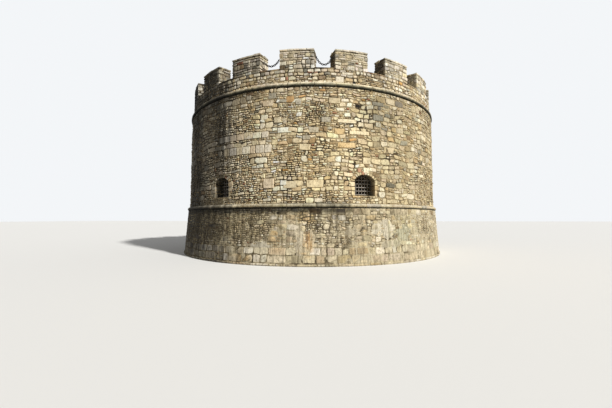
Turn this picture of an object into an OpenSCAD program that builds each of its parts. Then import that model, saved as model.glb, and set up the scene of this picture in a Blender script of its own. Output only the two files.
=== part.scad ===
// Round gun tower of coursed rubble: a battered foot, a drum with arched gun windows,
// two round string courses, and a parapet of square merlons around a paved gun terrace.
// Azimuth 0 faces the middle between the two front windows (-Y) and grows towards +X.

/* [Drum] */
// Radius of the drum above the lower string course
drum_foot_radius = 7255; // [6500:5:8500]
// How far the drum leans in, from the lower string course to the upper one
drum_batter = 38; // [0:1:200]
// Height of the drum between the two string courses
drum_height = 4850; // [4300:10:6500]
// Thickness of the drum's wall at its foot
drum_wall_thickness = 2255; // [1600:5:2600]

/* [Scarp] */
// How far the battered foot's top stands out from the drum
scarp_set_off = 103; // [40:1:250]
// How far the battered foot leans out, from its top to the ground
scarp_batter = 162; // [60:1:600]
// Thickness of the battered foot's wall at its top
scarp_wall_thickness = 2658; // [1900:1:3000]
// Height of the battered foot, up to the lower string course
scarp_height = 2310; // [2100:10:3200]
// Height of the course of flat stones that shows along the ground
foot_course_height = 110; // [60:5:300]
// How far the flat stones along the ground stand proud
foot_course_step = 30; // [5:1:80]

/* [String courses] */
// Height of the lower string course
lower_course_height = 180; // [120:2:240]
// How far the lower string course stands out from the foot below it
lower_course_reach = 45; // [20:1:80]
// How deep the lower string course is bonded into the wall
lower_course_bond = 600; // [300:10:900]
// Height of the upper string course
upper_course_height = 190; // [120:2:240]
// How far the upper string course stands out from the drum below it
upper_course_reach = 75; // [20:1:120]

/* [Parapet] */
// How far the parapet's outer face is set back from the drum's top
parapet_setback = 83; // [0:1:250]
// Thickness of the parapet and its merlons
parapet_thickness = 550; // [400:10:900]
// Height of the parapet wall below the crenels' sills
parapet_height = 610; // [300:10:1000]
// Thickness of the tile sill in each crenel
crenel_sill_height = 50; // [30:5:90]
// How far the tile sills overhang the parapet's outer face
crenel_sill_reach = 15; // [0:1:40]
// How many merlons stand around the parapet
merlon_count = 19; // [12:1:22]
// Azimuth of the first merlon, in degrees
merlon_azimuth = 2.9; // [0:0.1:18]
// Width of a merlon on the parapet's outer face
merlon_width = 1420; // [1000:10:1500]
// Width of a merlon on the parapet's inner face
merlon_back_width = 1520; // [1000:10:1550]
// Height of a merlon above the parapet wall, under its coping
merlon_height = 800; // [500:10:1200]
// Thickness of a merlon's coping
coping_height = 60; // [30:5:120]
// How far a merlon's coping overhangs its faces
coping_reach = 18; // [0:1:60]

/* [Gun windows] */
// How many equal bays the drum is divided into
bay_count = 7; // [7:2:11]
// How many bays have a window, half of them on each side of the front
window_count = 6; // [2:2:6]
// Clear width of a window
window_width = 960; // [700:10:1100]
// Clear height of a window at its crown
window_height = 915; // [700:5:1100]
// Rise of a window's arch
window_rise = 250; // [120:5:400]
// Height of a window's sill above the lower string course
window_sill_rise = 330; // [150:10:600]
// Thickness of a window's sill slab
window_sill_height = 70; // [40:5:120]
// How far a window's sill slab stands out from the wall
window_sill_reach = 20; // [0:1:60]
// Width of the dressed stones around a window
window_dressing_width = 270; // [150:10:320]
// Depth of the dressed stones around a window, which is how far back the niche starts
window_throat = 500; // [300:10:900]

/* [Doorway] */
// Clear width of the doorway
door_width = 1100; // [800:10:1300]
// Height of masonry between the doorway's dressed arch and the lower string course
door_cover = 140; // [50:10:500]
// Rise of the doorway's arch
door_rise = 300; // [150:5:450]
// Width of the dressed stones around the doorway
door_dressing_width = 220; // [150:5:260]
// Depth of the dressed stones around the doorway
door_throat = 500; // [300:10:900]
// Height of the worn threshold stone
threshold_height = 60; // [30:5:120]

/* [Inside] */
// Height of the gun room's floor above the underside of the lower string course
gun_floor_rise = 130; // [60:10:170]
// Thickness of the gun room's floor
gun_floor_height = 200; // [100:10:200]
// Height of the vault's springing above the lower string course
springing_rise = 1960; // [1800:10:2600]
// Thickness of the domed vault at its crown
vault_crown = 490; // [250:10:1200]
// Width of the ledge that carries the vault
springing_ledge = 350; // [150:10:500]
// Thickness of the terrace paving
paving_height = 120; // [60:5:180]

/* [Chains] */
// Thickness of a chain link's iron
link_wire = 24; // [16:1:26]
// Clear length inside a link, along the chain
link_inside_length = 74; // [70:1:90]
// Clear width inside a link
link_inside_width = 42; // [40:1:52]
// Chain length over the distance between its eyes, left crenel
left_chain_slack = 1.2; // [1.08:0.01:1.6]
// Chain length over the distance between its eyes, right crenel
right_chain_slack = 1.38; // [1.08:0.01:1.6]
// Height of the left chain's eyes above the crenel sill
left_chain_rise = 510; // [450:10:700]
// Height of the right chain's eyes above the crenel sill
right_chain_rise = 570; // [450:10:700]
// Thickness of an eye's iron
eye_wire = 20; // [14:1:24]
// Clear width inside an eye
eye_inside = 52; // [48:1:62]
// How far an eye's centre stands off the merlon
eye_reach = 64; // [60:1:90]

/* [Hidden] */
$fn = 96;
// Facets drawn around the tower's own circles and its arches
round_facets = 720;

// Free space that keeps one chain link off the next
link_gap = 0.3;
// Diameter and thickness of the plate behind an eye, and diameter of its shank
eye_plate_width = 98;
eye_plate_height = 9;
eye_shank_width = 24;
// Extra length of a cutting shape beyond what it cuts
past = 50;
// Angle by which a pier's sector runs past a window's middle, before the window's bay is cut out
pier_overrun = 0.5;

window_spacing = 360 / bay_count;
function side_index(k) = k - window_count / 2;
function window_azimuth(k) = (side_index(k) + 0.5) * window_spacing;
function merlon_at(k) = merlon_azimuth + k * 360 / merlon_count;
function two_digits(k) = k < 10 ? str("0", k) : str(k);

pier_count = window_count;
scarp_count = 5;
vault_count = 4;
door_azimuth = 180;

// Radii, from the drum's foot
drum_top_radius = drum_foot_radius - drum_batter;
scarp_top_radius = drum_foot_radius + scarp_set_off;
base_radius = scarp_top_radius + scarp_batter;
parapet_radius = drum_top_radius - parapet_setback;
cellar_radius = scarp_top_radius - scarp_wall_thickness;
gun_room_radius = drum_foot_radius - drum_wall_thickness;

// Levels, from the ground up
lower_course_z = scarp_height;
drum_z = lower_course_z + lower_course_height;
upper_course_z = drum_z + drum_height;
parapet_z = upper_course_z + upper_course_height;
merlon_z = parapet_z + parapet_height;
crenel_z = merlon_z + crenel_sill_height;
coping_z = merlon_z + merlon_height;
top_z = coping_z + coping_height;
gun_floor_z = lower_course_z + gun_floor_rise;
gun_floor_under = gun_floor_z - gun_floor_height;
springing_z = drum_z + springing_rise;
sill_z = drum_z + window_sill_rise;
bed_z = sill_z - window_sill_height;

parapet_inside = parapet_radius - parapet_thickness;
lower_course_inside = scarp_top_radius - lower_course_bond;
vault_outside = gun_room_radius + springing_ledge;

// Radius of a flat arch from its clear width and rise, and the height of its centre
function arch_radius(width, rise) = (width * width / 4 + rise * rise) / (2 * rise);
window_arch = arch_radius(window_width, window_rise);
window_centre_z = sill_z + window_height - window_arch;
window_outside = window_width + 2 * window_dressing_width;
door_arch = arch_radius(door_width, door_rise);
door_height = scarp_height - door_cover - door_dressing_width;
door_centre_z = door_height - door_arch;
door_outside = door_width + 2 * door_dressing_width;
vault_rise = drum_height - springing_rise - vault_crown;
vault_radius = (gun_room_radius * gun_room_radius + vault_rise * vault_rise) / (2 * vault_rise);

limestone = [0.78, 0.71, 0.58];
weathered = [0.66, 0.60, 0.50];
dressed = [0.84, 0.78, 0.66];
tile = [0.72, 0.45, 0.30];
mortar = [0.62, 0.57, 0.49];
iron = [0.24, 0.22, 0.21];

// Turns a shape drawn with +Y outwards so that +Y points to an azimuth
module face(azimuth) {
    rotate([0, 0, azimuth + 180]) children();
}

// Sweeps a profile of radius and height around the axis, between two azimuths
module sector(from, to) {
    rotate([0, 0, from - 90])
        rotate_extrude(angle = to - from, $fn = round_facets) children();
}

module ring() {
    rotate_extrude($fn = round_facets) children();
}

// Outline of an opening with a flat arch: a circle's top between two upright sides
module arched(width, bottom, centre_z, radius) {
    intersection() {
        translate([-width / 2, bottom]) square([width, centre_z + radius - bottom + past]);
        union() {
            translate([0, centre_z]) circle(radius, $fn = round_facets);
            translate([-width / 2, bottom]) square([width, centre_z - bottom]);
        }
    }
}

// Pushes an outline drawn as width and height outwards, from one distance off the axis to another
module outwards(near, far) {
    translate([0, far, 0]) rotate([90, 0, 0]) linear_extrude(far - near) children();
}

// Round bar that runs outwards, for clearing the space below an arch
module disc(centre_z, radius, near, far) {
    outwards(near, far) translate([0, centre_z]) circle(radius, $fn = round_facets);
}

// Upright slab through the wall, as wide as a bay, for cutting a wall into bays
module bay(width, near, far, bottom, top) {
    translate([-width / 2, near, bottom]) cube([width, far - near, top - bottom]);
}

module scarp_profile() {
    polygon([
        [cellar_radius, 0],
        [base_radius + foot_course_step, 0],
        [base_radius + foot_course_step, foot_course_height],
        [base_radius, foot_course_height],
        [scarp_top_radius, lower_course_z],
        [lower_course_inside, lower_course_z],
        [lower_course_inside, drum_z],
        [gun_room_radius, drum_z],
        [gun_room_radius, gun_floor_under],
        [cellar_radius, gun_floor_under]
    ]);
}

module drum_profile() {
    polygon([
        [gun_room_radius, drum_z],
        [drum_foot_radius, drum_z],
        [drum_top_radius, upper_course_z],
        [vault_outside, upper_course_z],
        [vault_outside, springing_z],
        [gun_room_radius, springing_z]
    ]);
}

// Half-round nose on a flat bed that reaches back into the wall
module string_course_profile(inside, outside, bottom, height) {
    nose = height / 2;
    translate([inside, bottom]) square([outside - nose - inside, height]);
    intersection() {
        translate([outside - nose, bottom + nose]) circle(nose);
        translate([outside - nose, bottom]) square([height, height]);
    }
}

module door_bay() {
    face(door_azimuth) bay(door_outside, 0, base_radius + past, -past, drum_z + past);
}

module scarp_wall(k) {
    step = 360 / scarp_count;
    color(weathered) difference() {
        sector(door_azimuth + (k - 1) * step, door_azimuth + k * step) scarp_profile();
        door_bay();
    }
}

module door_head() {
    half = atan(door_outside / cellar_radius);
    color(weathered) difference() {
        intersection() {
            sector(door_azimuth - half, door_azimuth + half) scarp_profile();
            face(door_azimuth)
                bay(door_outside, 0, base_radius + past, door_centre_z, drum_z + past);
        }
        face(door_azimuth) disc(door_centre_z, door_arch + door_dressing_width, 0, base_radius + past);
    }
}

module door_surround() {
    near = scarp_top_radius - door_throat;
    color(dressed) intersection() {
        ring() scarp_face_profile();
        face(door_azimuth) outwards(near, base_radius + past) difference() {
            arched(door_outside, 0, door_centre_z, door_arch + door_dressing_width);
            arched(door_width, -past, door_centre_z, door_arch);
        }
    }
}

// The battered foot without its inner room, for trimming what stands flush in its face
module scarp_face_profile() {
    polygon([
        [0, 0],
        [base_radius, 0],
        [scarp_top_radius, lower_course_z],
        [0, lower_course_z]
    ]);
}

module door_threshold() {
    near = scarp_top_radius - door_throat;
    color(dressed) intersection() {
        cylinder(r = base_radius + foot_course_step, h = threshold_height, $fn = round_facets);
        face(door_azimuth)
            translate([-door_width / 2, near, 0])
                cube([door_width, base_radius - near + past, threshold_height]);
    }
}

module lower_string_course() {
    color(dressed) ring()
        string_course_profile(lower_course_inside, scarp_top_radius + lower_course_reach,
                              lower_course_z, lower_course_height);
}

module upper_string_course() {
    color(dressed) ring()
        string_course_profile(parapet_inside, drum_top_radius + upper_course_reach,
                              upper_course_z, upper_course_height);
}

module window_bay(k, bottom, top) {
    face(window_azimuth(k)) bay(window_outside, 0, drum_foot_radius + past, bottom, top);
}

// One pier of the drum, from the window on its left to the window on its right
module drum_pier(k) {
    last = k == pier_count - 1;
    from = window_azimuth(k);
    to = last ? window_azimuth(0) + 360 : window_azimuth(k + 1);
    color(limestone) difference() {
        sector(from - pier_overrun, to + pier_overrun) drum_profile();
        window_bay(k, drum_z - past, upper_course_z + past);
        window_bay(last ? 0 : k + 1, drum_z - past, upper_course_z + past);
    }
}

module window_breast(k) {
    half = atan(window_outside / gun_room_radius);
    intersection() {
        sector(window_azimuth(k) - half, window_azimuth(k) + half) drum_profile();
        window_bay(k, drum_z - past, bed_z);
    }
}

module window_head(k) {
    half = atan(window_outside / gun_room_radius);
    difference() {
        intersection() {
            sector(window_azimuth(k) - half, window_azimuth(k) + half) drum_profile();
            window_bay(k, window_centre_z, upper_course_z + past);
        }
        face(window_azimuth(k))
            disc(window_centre_z, window_arch + window_dressing_width, 0, drum_foot_radius + past);
    }
}

// The dressed jambs and arch that narrow the niche to the window
module window_surround(k) {
    near = drum_top_radius - window_throat;
    intersection() {
        ring() drum_face_profile();
        face(window_azimuth(k)) outwards(near, drum_foot_radius + past) difference() {
            arched(window_outside, bed_z, window_centre_z, window_arch + window_dressing_width);
            arched(window_width, bed_z - past, window_centre_z, window_arch);
        }
    }
}

// The drum filled to its axis, for trimming what stands flush in its face
module drum_face_profile() {
    polygon([
        [0, drum_z],
        [drum_foot_radius, drum_z],
        [drum_top_radius, upper_course_z],
        [0, upper_course_z]
    ]);
}

module window_sill(k) {
    near = drum_top_radius - window_throat;
    face(window_azimuth(k)) translate([0, 0, bed_z]) intersection() {
        cylinder(r = drum_foot_radius + window_sill_reach, h = window_sill_height, $fn = round_facets);
        translate([-window_width / 2, near, 0])
            cube([window_width, drum_foot_radius - near + past, window_sill_height]);
    }
}

module window_breasts() {
    color(limestone) for (k = [0:window_count - 1]) window_breast(k);
}

module window_heads() {
    color(limestone) for (k = [0:window_count - 1]) window_head(k);
}

module window_surrounds() {
    color(dressed) for (k = [0:window_count - 1]) window_surround(k);
}

module window_sills() {
    color(dressed) for (k = [0:window_count - 1]) window_sill(k);
}

module gun_floor() {
    color(mortar) translate([0, 0, gun_floor_under])
        cylinder(r = gun_room_radius, h = gun_floor_height, $fn = round_facets);
}

// Domed vault: flat on top for the terrace, hollow below, on the ledge of the drum
module vault_profile() {
    difference() {
        translate([0, springing_z]) square([vault_outside, upper_course_z - springing_z]);
        translate([0, springing_z + vault_rise - vault_radius]) circle(vault_radius, $fn = round_facets);
    }
}

module vault(k) {
    step = 360 / vault_count;
    color(mortar) sector((k - 1) * step, k * step) vault_profile();
}

module terrace_paving() {
    color(weathered) translate([0, 0, upper_course_z])
        cylinder(r = parapet_inside, h = paving_height, $fn = round_facets);
}

module parapet_wall() {
    color(limestone) ring()
        translate([parapet_inside, parapet_z]) square([parapet_thickness, parapet_height]);
}

// How much wider a merlon is at a radius than on the parapet's outer face
function merlon_spread(radius) =
    (merlon_back_width - merlon_width) * (parapet_radius - radius) / parapet_thickness;

// Plan of a merlon's two cheeks, which splay so that a crenel opens outwards
module merlon_cheeks(reach) {
    near = parapet_inside - 2 * past;
    far = parapet_radius + 2 * past;
    near_half = (merlon_width + merlon_spread(near)) / 2 + reach;
    far_half = (merlon_width + merlon_spread(far)) / 2 + reach;
    polygon([[-near_half, near], [near_half, near], [far_half, far], [-far_half, far]]);
}

// Plan of a merlon: the piece of the parapet's ring between its cheeks
module merlon_plan(reach) {
    intersection() {
        difference() {
            circle(parapet_radius + reach, $fn = round_facets);
            circle(parapet_inside - reach, $fn = round_facets);
        }
        merlon_cheeks(reach);
    }
}

module merlon(k) {
    color(limestone) face(merlon_at(k)) {
        translate([0, 0, merlon_z]) linear_extrude(merlon_height) merlon_plan(0);
        translate([0, 0, coping_z]) linear_extrude(coping_height) merlon_plan(coping_reach);
    }
}

module crenel_sills() {
    color(tile) difference() {
        translate([0, 0, merlon_z]) linear_extrude(crenel_sill_height) difference() {
            circle(parapet_radius + crenel_sill_reach, $fn = round_facets);
            circle(parapet_inside, $fn = round_facets);
        }
        for (k = [0:merlon_count - 1]) face(merlon_at(k))
            translate([0, 0, merlon_z - past]) linear_extrude(crenel_sill_height + 2 * past)
                merlon_cheeks(0);
    }
}

// Hanging chains, drawn in a frame whose X runs across the crenel and Y points outwards
chain_radius = parapet_radius - parapet_thickness / 2;
half_pitch = 180 / merlon_count;
half_merlon = (merlon_width + merlon_spread(chain_radius)) / 2;
cheek_angle = half_pitch + atan((merlon_back_width - merlon_width) / 2 / parapet_thickness);
cheek_x = chain_radius * sin(half_pitch) - half_merlon * cos(half_pitch);
cheek_y = chain_radius * cos(half_pitch) + half_merlon * sin(half_pitch);
eye_x = cheek_x - eye_reach * cos(cheek_angle);
eye_y = cheek_y + eye_reach * sin(cheek_angle);
eye_ring = (eye_inside + eye_wire) / 2;
// Length of chain hidden inside each eye, from its centre to where the first link bears
eye_share = eye_inside / 2 - link_gap;

function sinh(u) = (exp(u) - exp(-u)) / 2;
function cosh(u) = (exp(u) + exp(-u)) / 2;
function asinh(u) = ln(u + sqrt(u * u + 1));

// Half the span over the catenary's parameter, found by halving, for a length over span
function catenary_ratio(slack, low = 0.01, high = 6, turns = 40) =
    let (middle = (low + high) / 2)
    turns == 0 ? middle
    : sinh(middle) / middle < slack ? catenary_ratio(slack, middle, high, turns - 1)
    : catenary_ratio(slack, low, middle, turns - 1);

// Half the turn between two links where the chain bends the most, at its lowest
function link_turn(slack) =
    link_inside_length / (2 * eye_x)
    * catenary_ratio(slack + link_inside_length / (2 * eye_x)) * 180 / PI;

// Distance between the middles of two links that turn so, with free space between their irons
link_play = (link_inside_width - link_wire) / 2 - link_gap;
link_bend = (link_inside_width + link_wire) / 2;
function link_step(turn) =
    (link_inside_length + link_wire - link_bend) * cos(turn)
    + sqrt(max(0, pow(link_play, 2) - pow(link_bend * sin(turn), 2)));
function link_pitch(slack) = let (turn = link_turn(slack)) link_step(turn) * turn * PI / 180 / sin(turn);

// The catenary's parameter for a length between the two eyes
function chain_parameter(length) = eye_x / catenary_ratio(length / (2 * eye_x));

// Places of the links' middles along the chain, from its lowest point to one eye. Two links that
// turn against each other lie closer together than two in line.
function link_places(parameter, links, place = 0) =
    links == 0 ? [place]
    : let (
        turn = (atan((place + link_step(0)) / parameter) - atan(place / parameter)) / 2,
        next = place + link_step(turn) * turn * PI / 180 / sin(turn)
    )
    concat([place], link_places(parameter, links - 1, next));

// An odd number of links, so that both eyes hold a link that lies the same way
function links_for(slack) =
    2 * round((slack * 2 * eye_x - 2 * eye_share) / link_pitch(slack) / 2 - 0.5) + 1;

// One link, with its long axis along X and lying in the XY plane
module link() {
    straight = link_inside_length - link_inside_width;
    for (end = [0, 1]) mirror([end, 0, 0])
        translate([straight / 2, 0, 0]) rotate([0, 0, -90])
            rotate_extrude(angle = 180, $fn = 48) translate([link_bend, 0]) circle(d = link_wire, $fn = 24);
    for (side = [-1, 1])
        translate([-straight / 2, side * link_bend, 0]) rotate([0, 90, 0])
            cylinder(d = link_wire, h = straight, $fn = 24);
}

module eye(side) {
    mirror([side < 0 ? 1 : 0, 0, 0]) {
        translate([eye_x, eye_y, 0]) rotate([90, 0, 0])
            rotate_extrude($fn = 48) translate([eye_ring, 0]) circle(d = eye_wire, $fn = 24);
        translate([cheek_x, cheek_y, 0]) rotate([0, 0, -cheek_angle]) rotate([0, -90, 0]) {
            cylinder(d = eye_plate_width, h = eye_plate_height, $fn = 48);
            cylinder(d = eye_shank_width, h = eye_reach - eye_ring, $fn = 24);
        }
    }
}

module chain(azimuth, slack, rise) {
    count = links_for(slack);
    half = (count - 1) / 2;
    first = chain_parameter(count * link_pitch(slack) + 2 * eye_share);
    parameter = chain_parameter(2 * link_places(first, half)[half] + link_step(0) + 2 * eye_share);
    places = link_places(parameter, half);
    drop = parameter * cosh(eye_x / parameter);
    color(iron) face(azimuth) translate([0, 0, crenel_z + rise]) {
        for (side = [-1, 1]) eye(side);
        for (n = [-half:half]) {
            along = sign(n) * places[abs(n)];
            x = parameter * asinh(along / parameter);
            translate([x, eye_y, parameter * cosh(x / parameter) - drop])
                rotate([0, -atan(along / parameter), 0])
                    rotate([(half - n) % 2 == 0 ? 0 : 90, 0, 0]) link();
        }
    }
}

module chain_left() {
    chain(merlon_at(0) - half_pitch, left_chain_slack, left_chain_rise);
}

module chain_right() {
    chain(merlon_at(0) + half_pitch, right_chain_slack, right_chain_rise);
}

for (k = [1:scarp_count])
    scarp_wall(k);
door_head();
door_surround();
door_threshold();
lower_string_course();
for (k = [1:pier_count])
    drum_pier(k - 1);
window_breasts();
window_heads();
window_surrounds();
window_sills();
gun_floor();
for (k = [1:vault_count])
    vault(k);
upper_string_course();
terrace_paving();
parapet_wall();
crenel_sills();
for (k = [1:merlon_count])
    merlon(k - 1);
chain_left();
chain_right();
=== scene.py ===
# %% [markdown]
# # A round gun tower of coursed rubble
# The tower is a thick ring of limestone rubble on a battered foot. Two half-round string courses run
# around it, and merlons stand on its parapet. The frame that is loaded here holds the solid masonry at its
# real size. This lesson lays the stones that show on those solids: every stone is a small mesh of its own
# shape and colour, joined with its neighbours into one piece for each part of the wall.

# %% Load the solid tower
import math
import bpy
import numpy as np
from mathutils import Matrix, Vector


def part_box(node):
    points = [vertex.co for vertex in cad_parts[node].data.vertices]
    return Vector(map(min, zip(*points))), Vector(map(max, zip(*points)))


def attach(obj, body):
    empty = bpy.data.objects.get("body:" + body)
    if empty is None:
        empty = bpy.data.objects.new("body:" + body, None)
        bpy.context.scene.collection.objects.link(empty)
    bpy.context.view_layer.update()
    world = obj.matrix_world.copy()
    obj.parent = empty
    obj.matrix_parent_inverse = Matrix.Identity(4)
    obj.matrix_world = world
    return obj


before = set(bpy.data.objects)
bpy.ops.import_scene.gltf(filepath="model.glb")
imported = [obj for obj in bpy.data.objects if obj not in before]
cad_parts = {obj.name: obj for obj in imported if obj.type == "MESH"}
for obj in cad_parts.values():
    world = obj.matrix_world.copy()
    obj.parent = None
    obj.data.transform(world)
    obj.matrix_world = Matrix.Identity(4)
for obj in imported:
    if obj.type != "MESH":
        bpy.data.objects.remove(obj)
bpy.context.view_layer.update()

# %% [markdown]
# ## Sizes from the solids
# The stones have to sit on the solids exactly, so radii and heights are read from the frame and not typed
# in again. A round wall is described by its radius at a height, because the foot is battered and the drum
# leans in a little. Only the low course along the ground is given here: its height, and how far it stands
# forward.

# %% Measure the round walls
same_height = 0.002
step_z = 0.11
step_forward = 0.03


def ring_radius(node, height, inner=False):
    """Radius of a node's round face at a height, from the points of its mesh there."""
    points = np.array([v.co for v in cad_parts[node].data.vertices])
    near = np.abs(points[:, 2] - height) < same_height
    radii = np.hypot(points[near, 0], points[near, 1])
    return float(radii.min() if inner else radii.max())


def levels(node):
    low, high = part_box(node)
    return low.z, high.z


foot_z, drum_z = levels("scarp_wall_2")
course_z, course_top = levels("lower_string_course")
upper_z, parapet_z = levels("upper_string_course")
merlon_z = levels("parapet_wall")[1]
crenel_z = levels("crenel_sills")[1]
top_z = levels("merlon_01")[1]
paving_z = levels("terrace_paving")[1]

foot_step_radius = ring_radius("scarp_wall_3", foot_z)
foot_radius = ring_radius("scarp_wall_3", step_z) - step_forward
scarp_radius = ring_radius("scarp_wall_3", course_z)
drum_radius = ring_radius("drum_pier_3", drum_z)
drum_top_radius = ring_radius("drum_pier_3", upper_z)
parapet_radius = ring_radius("parapet_wall", merlon_z)
parapet_inside = ring_radius("parapet_wall", merlon_z, inner=True)
lower_nose = float(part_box("lower_string_course")[1].x)
upper_nose = float(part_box("upper_string_course")[1].x)
print("radii", foot_radius, scarp_radius, drum_radius, drum_top_radius, parapet_radius, parapet_inside)


def slope(low_z, low_radius, high_z, high_radius):
    """Radius of a wall that leans in evenly, as a function of the height."""
    return lambda z: low_radius + (z - low_z) * (high_radius - low_radius) / (high_z - low_z)


def plumb(radius):
    """The same for a wall that stands upright."""
    return lambda z: radius + 0 * z


scarp_face = slope(foot_z, foot_radius, course_z, scarp_radius)
drum_face = slope(drum_z, drum_radius, upper_z, drum_top_radius)

# %% [markdown]
# ## Azimuths
# Places around the tower are given in degrees. Azimuth 0 is the middle of the front, between the two front
# windows, and it grows towards +X. Two unit vectors help at each azimuth: one points out of the wall and
# one runs along it.

# %% Vectors at an azimuth
def outward(turn):
    return np.stack([np.sin(turn), -np.cos(turn), np.zeros_like(turn)], -1)


def along(turn):
    return np.stack([np.cos(turn), np.sin(turn), np.zeros_like(turn)], -1)


window_spacing = 360 / 7
window_azimuths = [(k - 2.5) * window_spacing for k in range(6)]
door_azimuth = 180.0
merlon_count = 19
merlon_azimuths = [2.9 + k * 360 / merlon_count for k in range(merlon_count)]

# %% [markdown]
# ## Colours of the stones
# The wall is mostly cream and tan limestone, with grey, ochre and brown stones and a few fragments of red
# brick. Each stone gets one colour from a list, with its own chance of being drawn, and that colour is kept
# on the mesh as an attribute, so one material serves the whole wall.

# %% Stone colours
def paint(red, green, blue):
    """A colour written as 0 to 255 on the sRGB curve, as linear light."""
    c = np.array([red, green, blue]) / 255
    return np.where(c <= 0.04045, c / 12.92, ((c + 0.055) / 1.055) ** 2.4)


stone_colours = {
    "cream": paint(226, 213, 182),
    "pale": paint(238, 229, 208),
    "bone": paint(226, 217, 200),
    "rose": paint(216, 199, 172),
    "buff": paint(218, 202, 167),
    "honey": paint(214, 189, 144),
    "tan": paint(202, 182, 144),
    "sand": paint(200, 186, 155),
    "ash": paint(190, 183, 166),
    "grey": paint(176, 170, 154),
    "dark grey": paint(138, 133, 120),
    "brown": paint(160, 138, 106),
    "ochre": paint(204, 160, 96),
    "terracotta": paint(188, 142, 114),
    "brick": paint(170, 116, 90),
    # Near black: painted shade for the putlog holes
    "hollow": paint(30, 27, 23),
}
rubble_mix = {"cream": 32, "pale": 19, "rose": 7, "buff": 21, "tan": 9, "sand": 7, "honey": 4, "grey": 4,
              "dark grey": 1.6, "brown": 2.6, "ochre": 0.9, "bone": 0.4}
crown_mix = {"bone": 28, "pale": 18, "cream": 8, "rose": 8, "buff": 6, "ash": 17, "sand": 6, "dark grey": 3,
             "brown": 3, "ochre": 0.6, "brick": 0.8}
parapet_mix = {"bone": 14, "pale": 10, "cream": 16, "rose": 6, "buff": 18, "tan": 10, "sand": 10, "ash": 8,
               "dark grey": 3, "brown": 4, "ochre": 0.8, "brick": 0.4}
ashlar_mix = {"bone": 24, "pale": 20, "cream": 16, "buff": 12, "ash": 14}
foot_mix = {"cream": 26, "pale": 10, "bone": 5, "buff": 26, "tan": 12, "sand": 11, "ash": 3, "brown": 2}
block_mix = {"cream": 26, "pale": 12, "rose": 5, "buff": 22, "sand": 10, "tan": 4}
band_mix = ["cream", "pale", "rose", "buff", "bone"]
course_mix = {"cream": 10, "buff": 10, "sand": 6, "rose": 4, "ash": 3}
tile_mix = {"brick": 6, "ochre": 4, "terracotta": 6, "tan": 9, "brown": 4, "buff": 6}
paving_mix = {"grey": 12, "sand": 12, "buff": 8, "dark grey": 3}


def draw_colours(count, mix, pick, spread=0.09, tint_spread=0.015):
    """One colour for each stone, by the chances in the mix, a little lighter, darker or tinted each."""
    names = list(mix)
    chances = np.array([mix[n] for n in names], float)
    rows = pick.choice(len(names), count, p=chances / chances.sum())
    colours = np.array([stone_colours[n] for n in names])[rows]
    return colours * (1 + pick.normal(0, spread, (count, 1))) * (1 + pick.normal(0, tint_spread, (count, 3)))


# %% [markdown]
# ## Weather
# Rain runs off the string courses and leaves dark drips down the foot, and the wall is darker in a band under
# the upper course. Black lichen grows on the parapet, and the side that sees no sun is darkened, partly by
# lichen and partly as painted shade. These are soft fields over the whole tower, so that a drip crosses many
# stones.
# They could be noise in a material, but then a stone at the edge of a stain would be cut by it, so they are
# worked out at the stones' points. Each field is a sum of waves whose number around the tower is whole, which
# closes it without a seam.

# %% Smooth fields around the tower
def waver(turn, height, seed, around, upward, waves=7):
    """Smooth field of about -1 to 1 over azimuth in radians and height, without a seam."""
    pick = np.random.default_rng(seed)
    total = np.zeros_like(turn)
    for _ in range(waves):
        count = pick.integers(max(1, around // 2), around * 2)
        rise = pick.uniform(0.4, 1.6) * upward * pick.choice([-1, 1])
        total += np.sin(count * turn + rise * height + pick.uniform(0, 2 * math.pi))
    return total / math.sqrt(waves)


def bump_between(x, low, high, soft):
    """1 between low and high, falling smoothly to 0 over the soft width on either side."""
    t = np.clip((x - low) / soft + 1, 0, 1) * np.clip((high - x) / soft + 1, 0, 1)
    return t * t * (3 - 2 * t)
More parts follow.
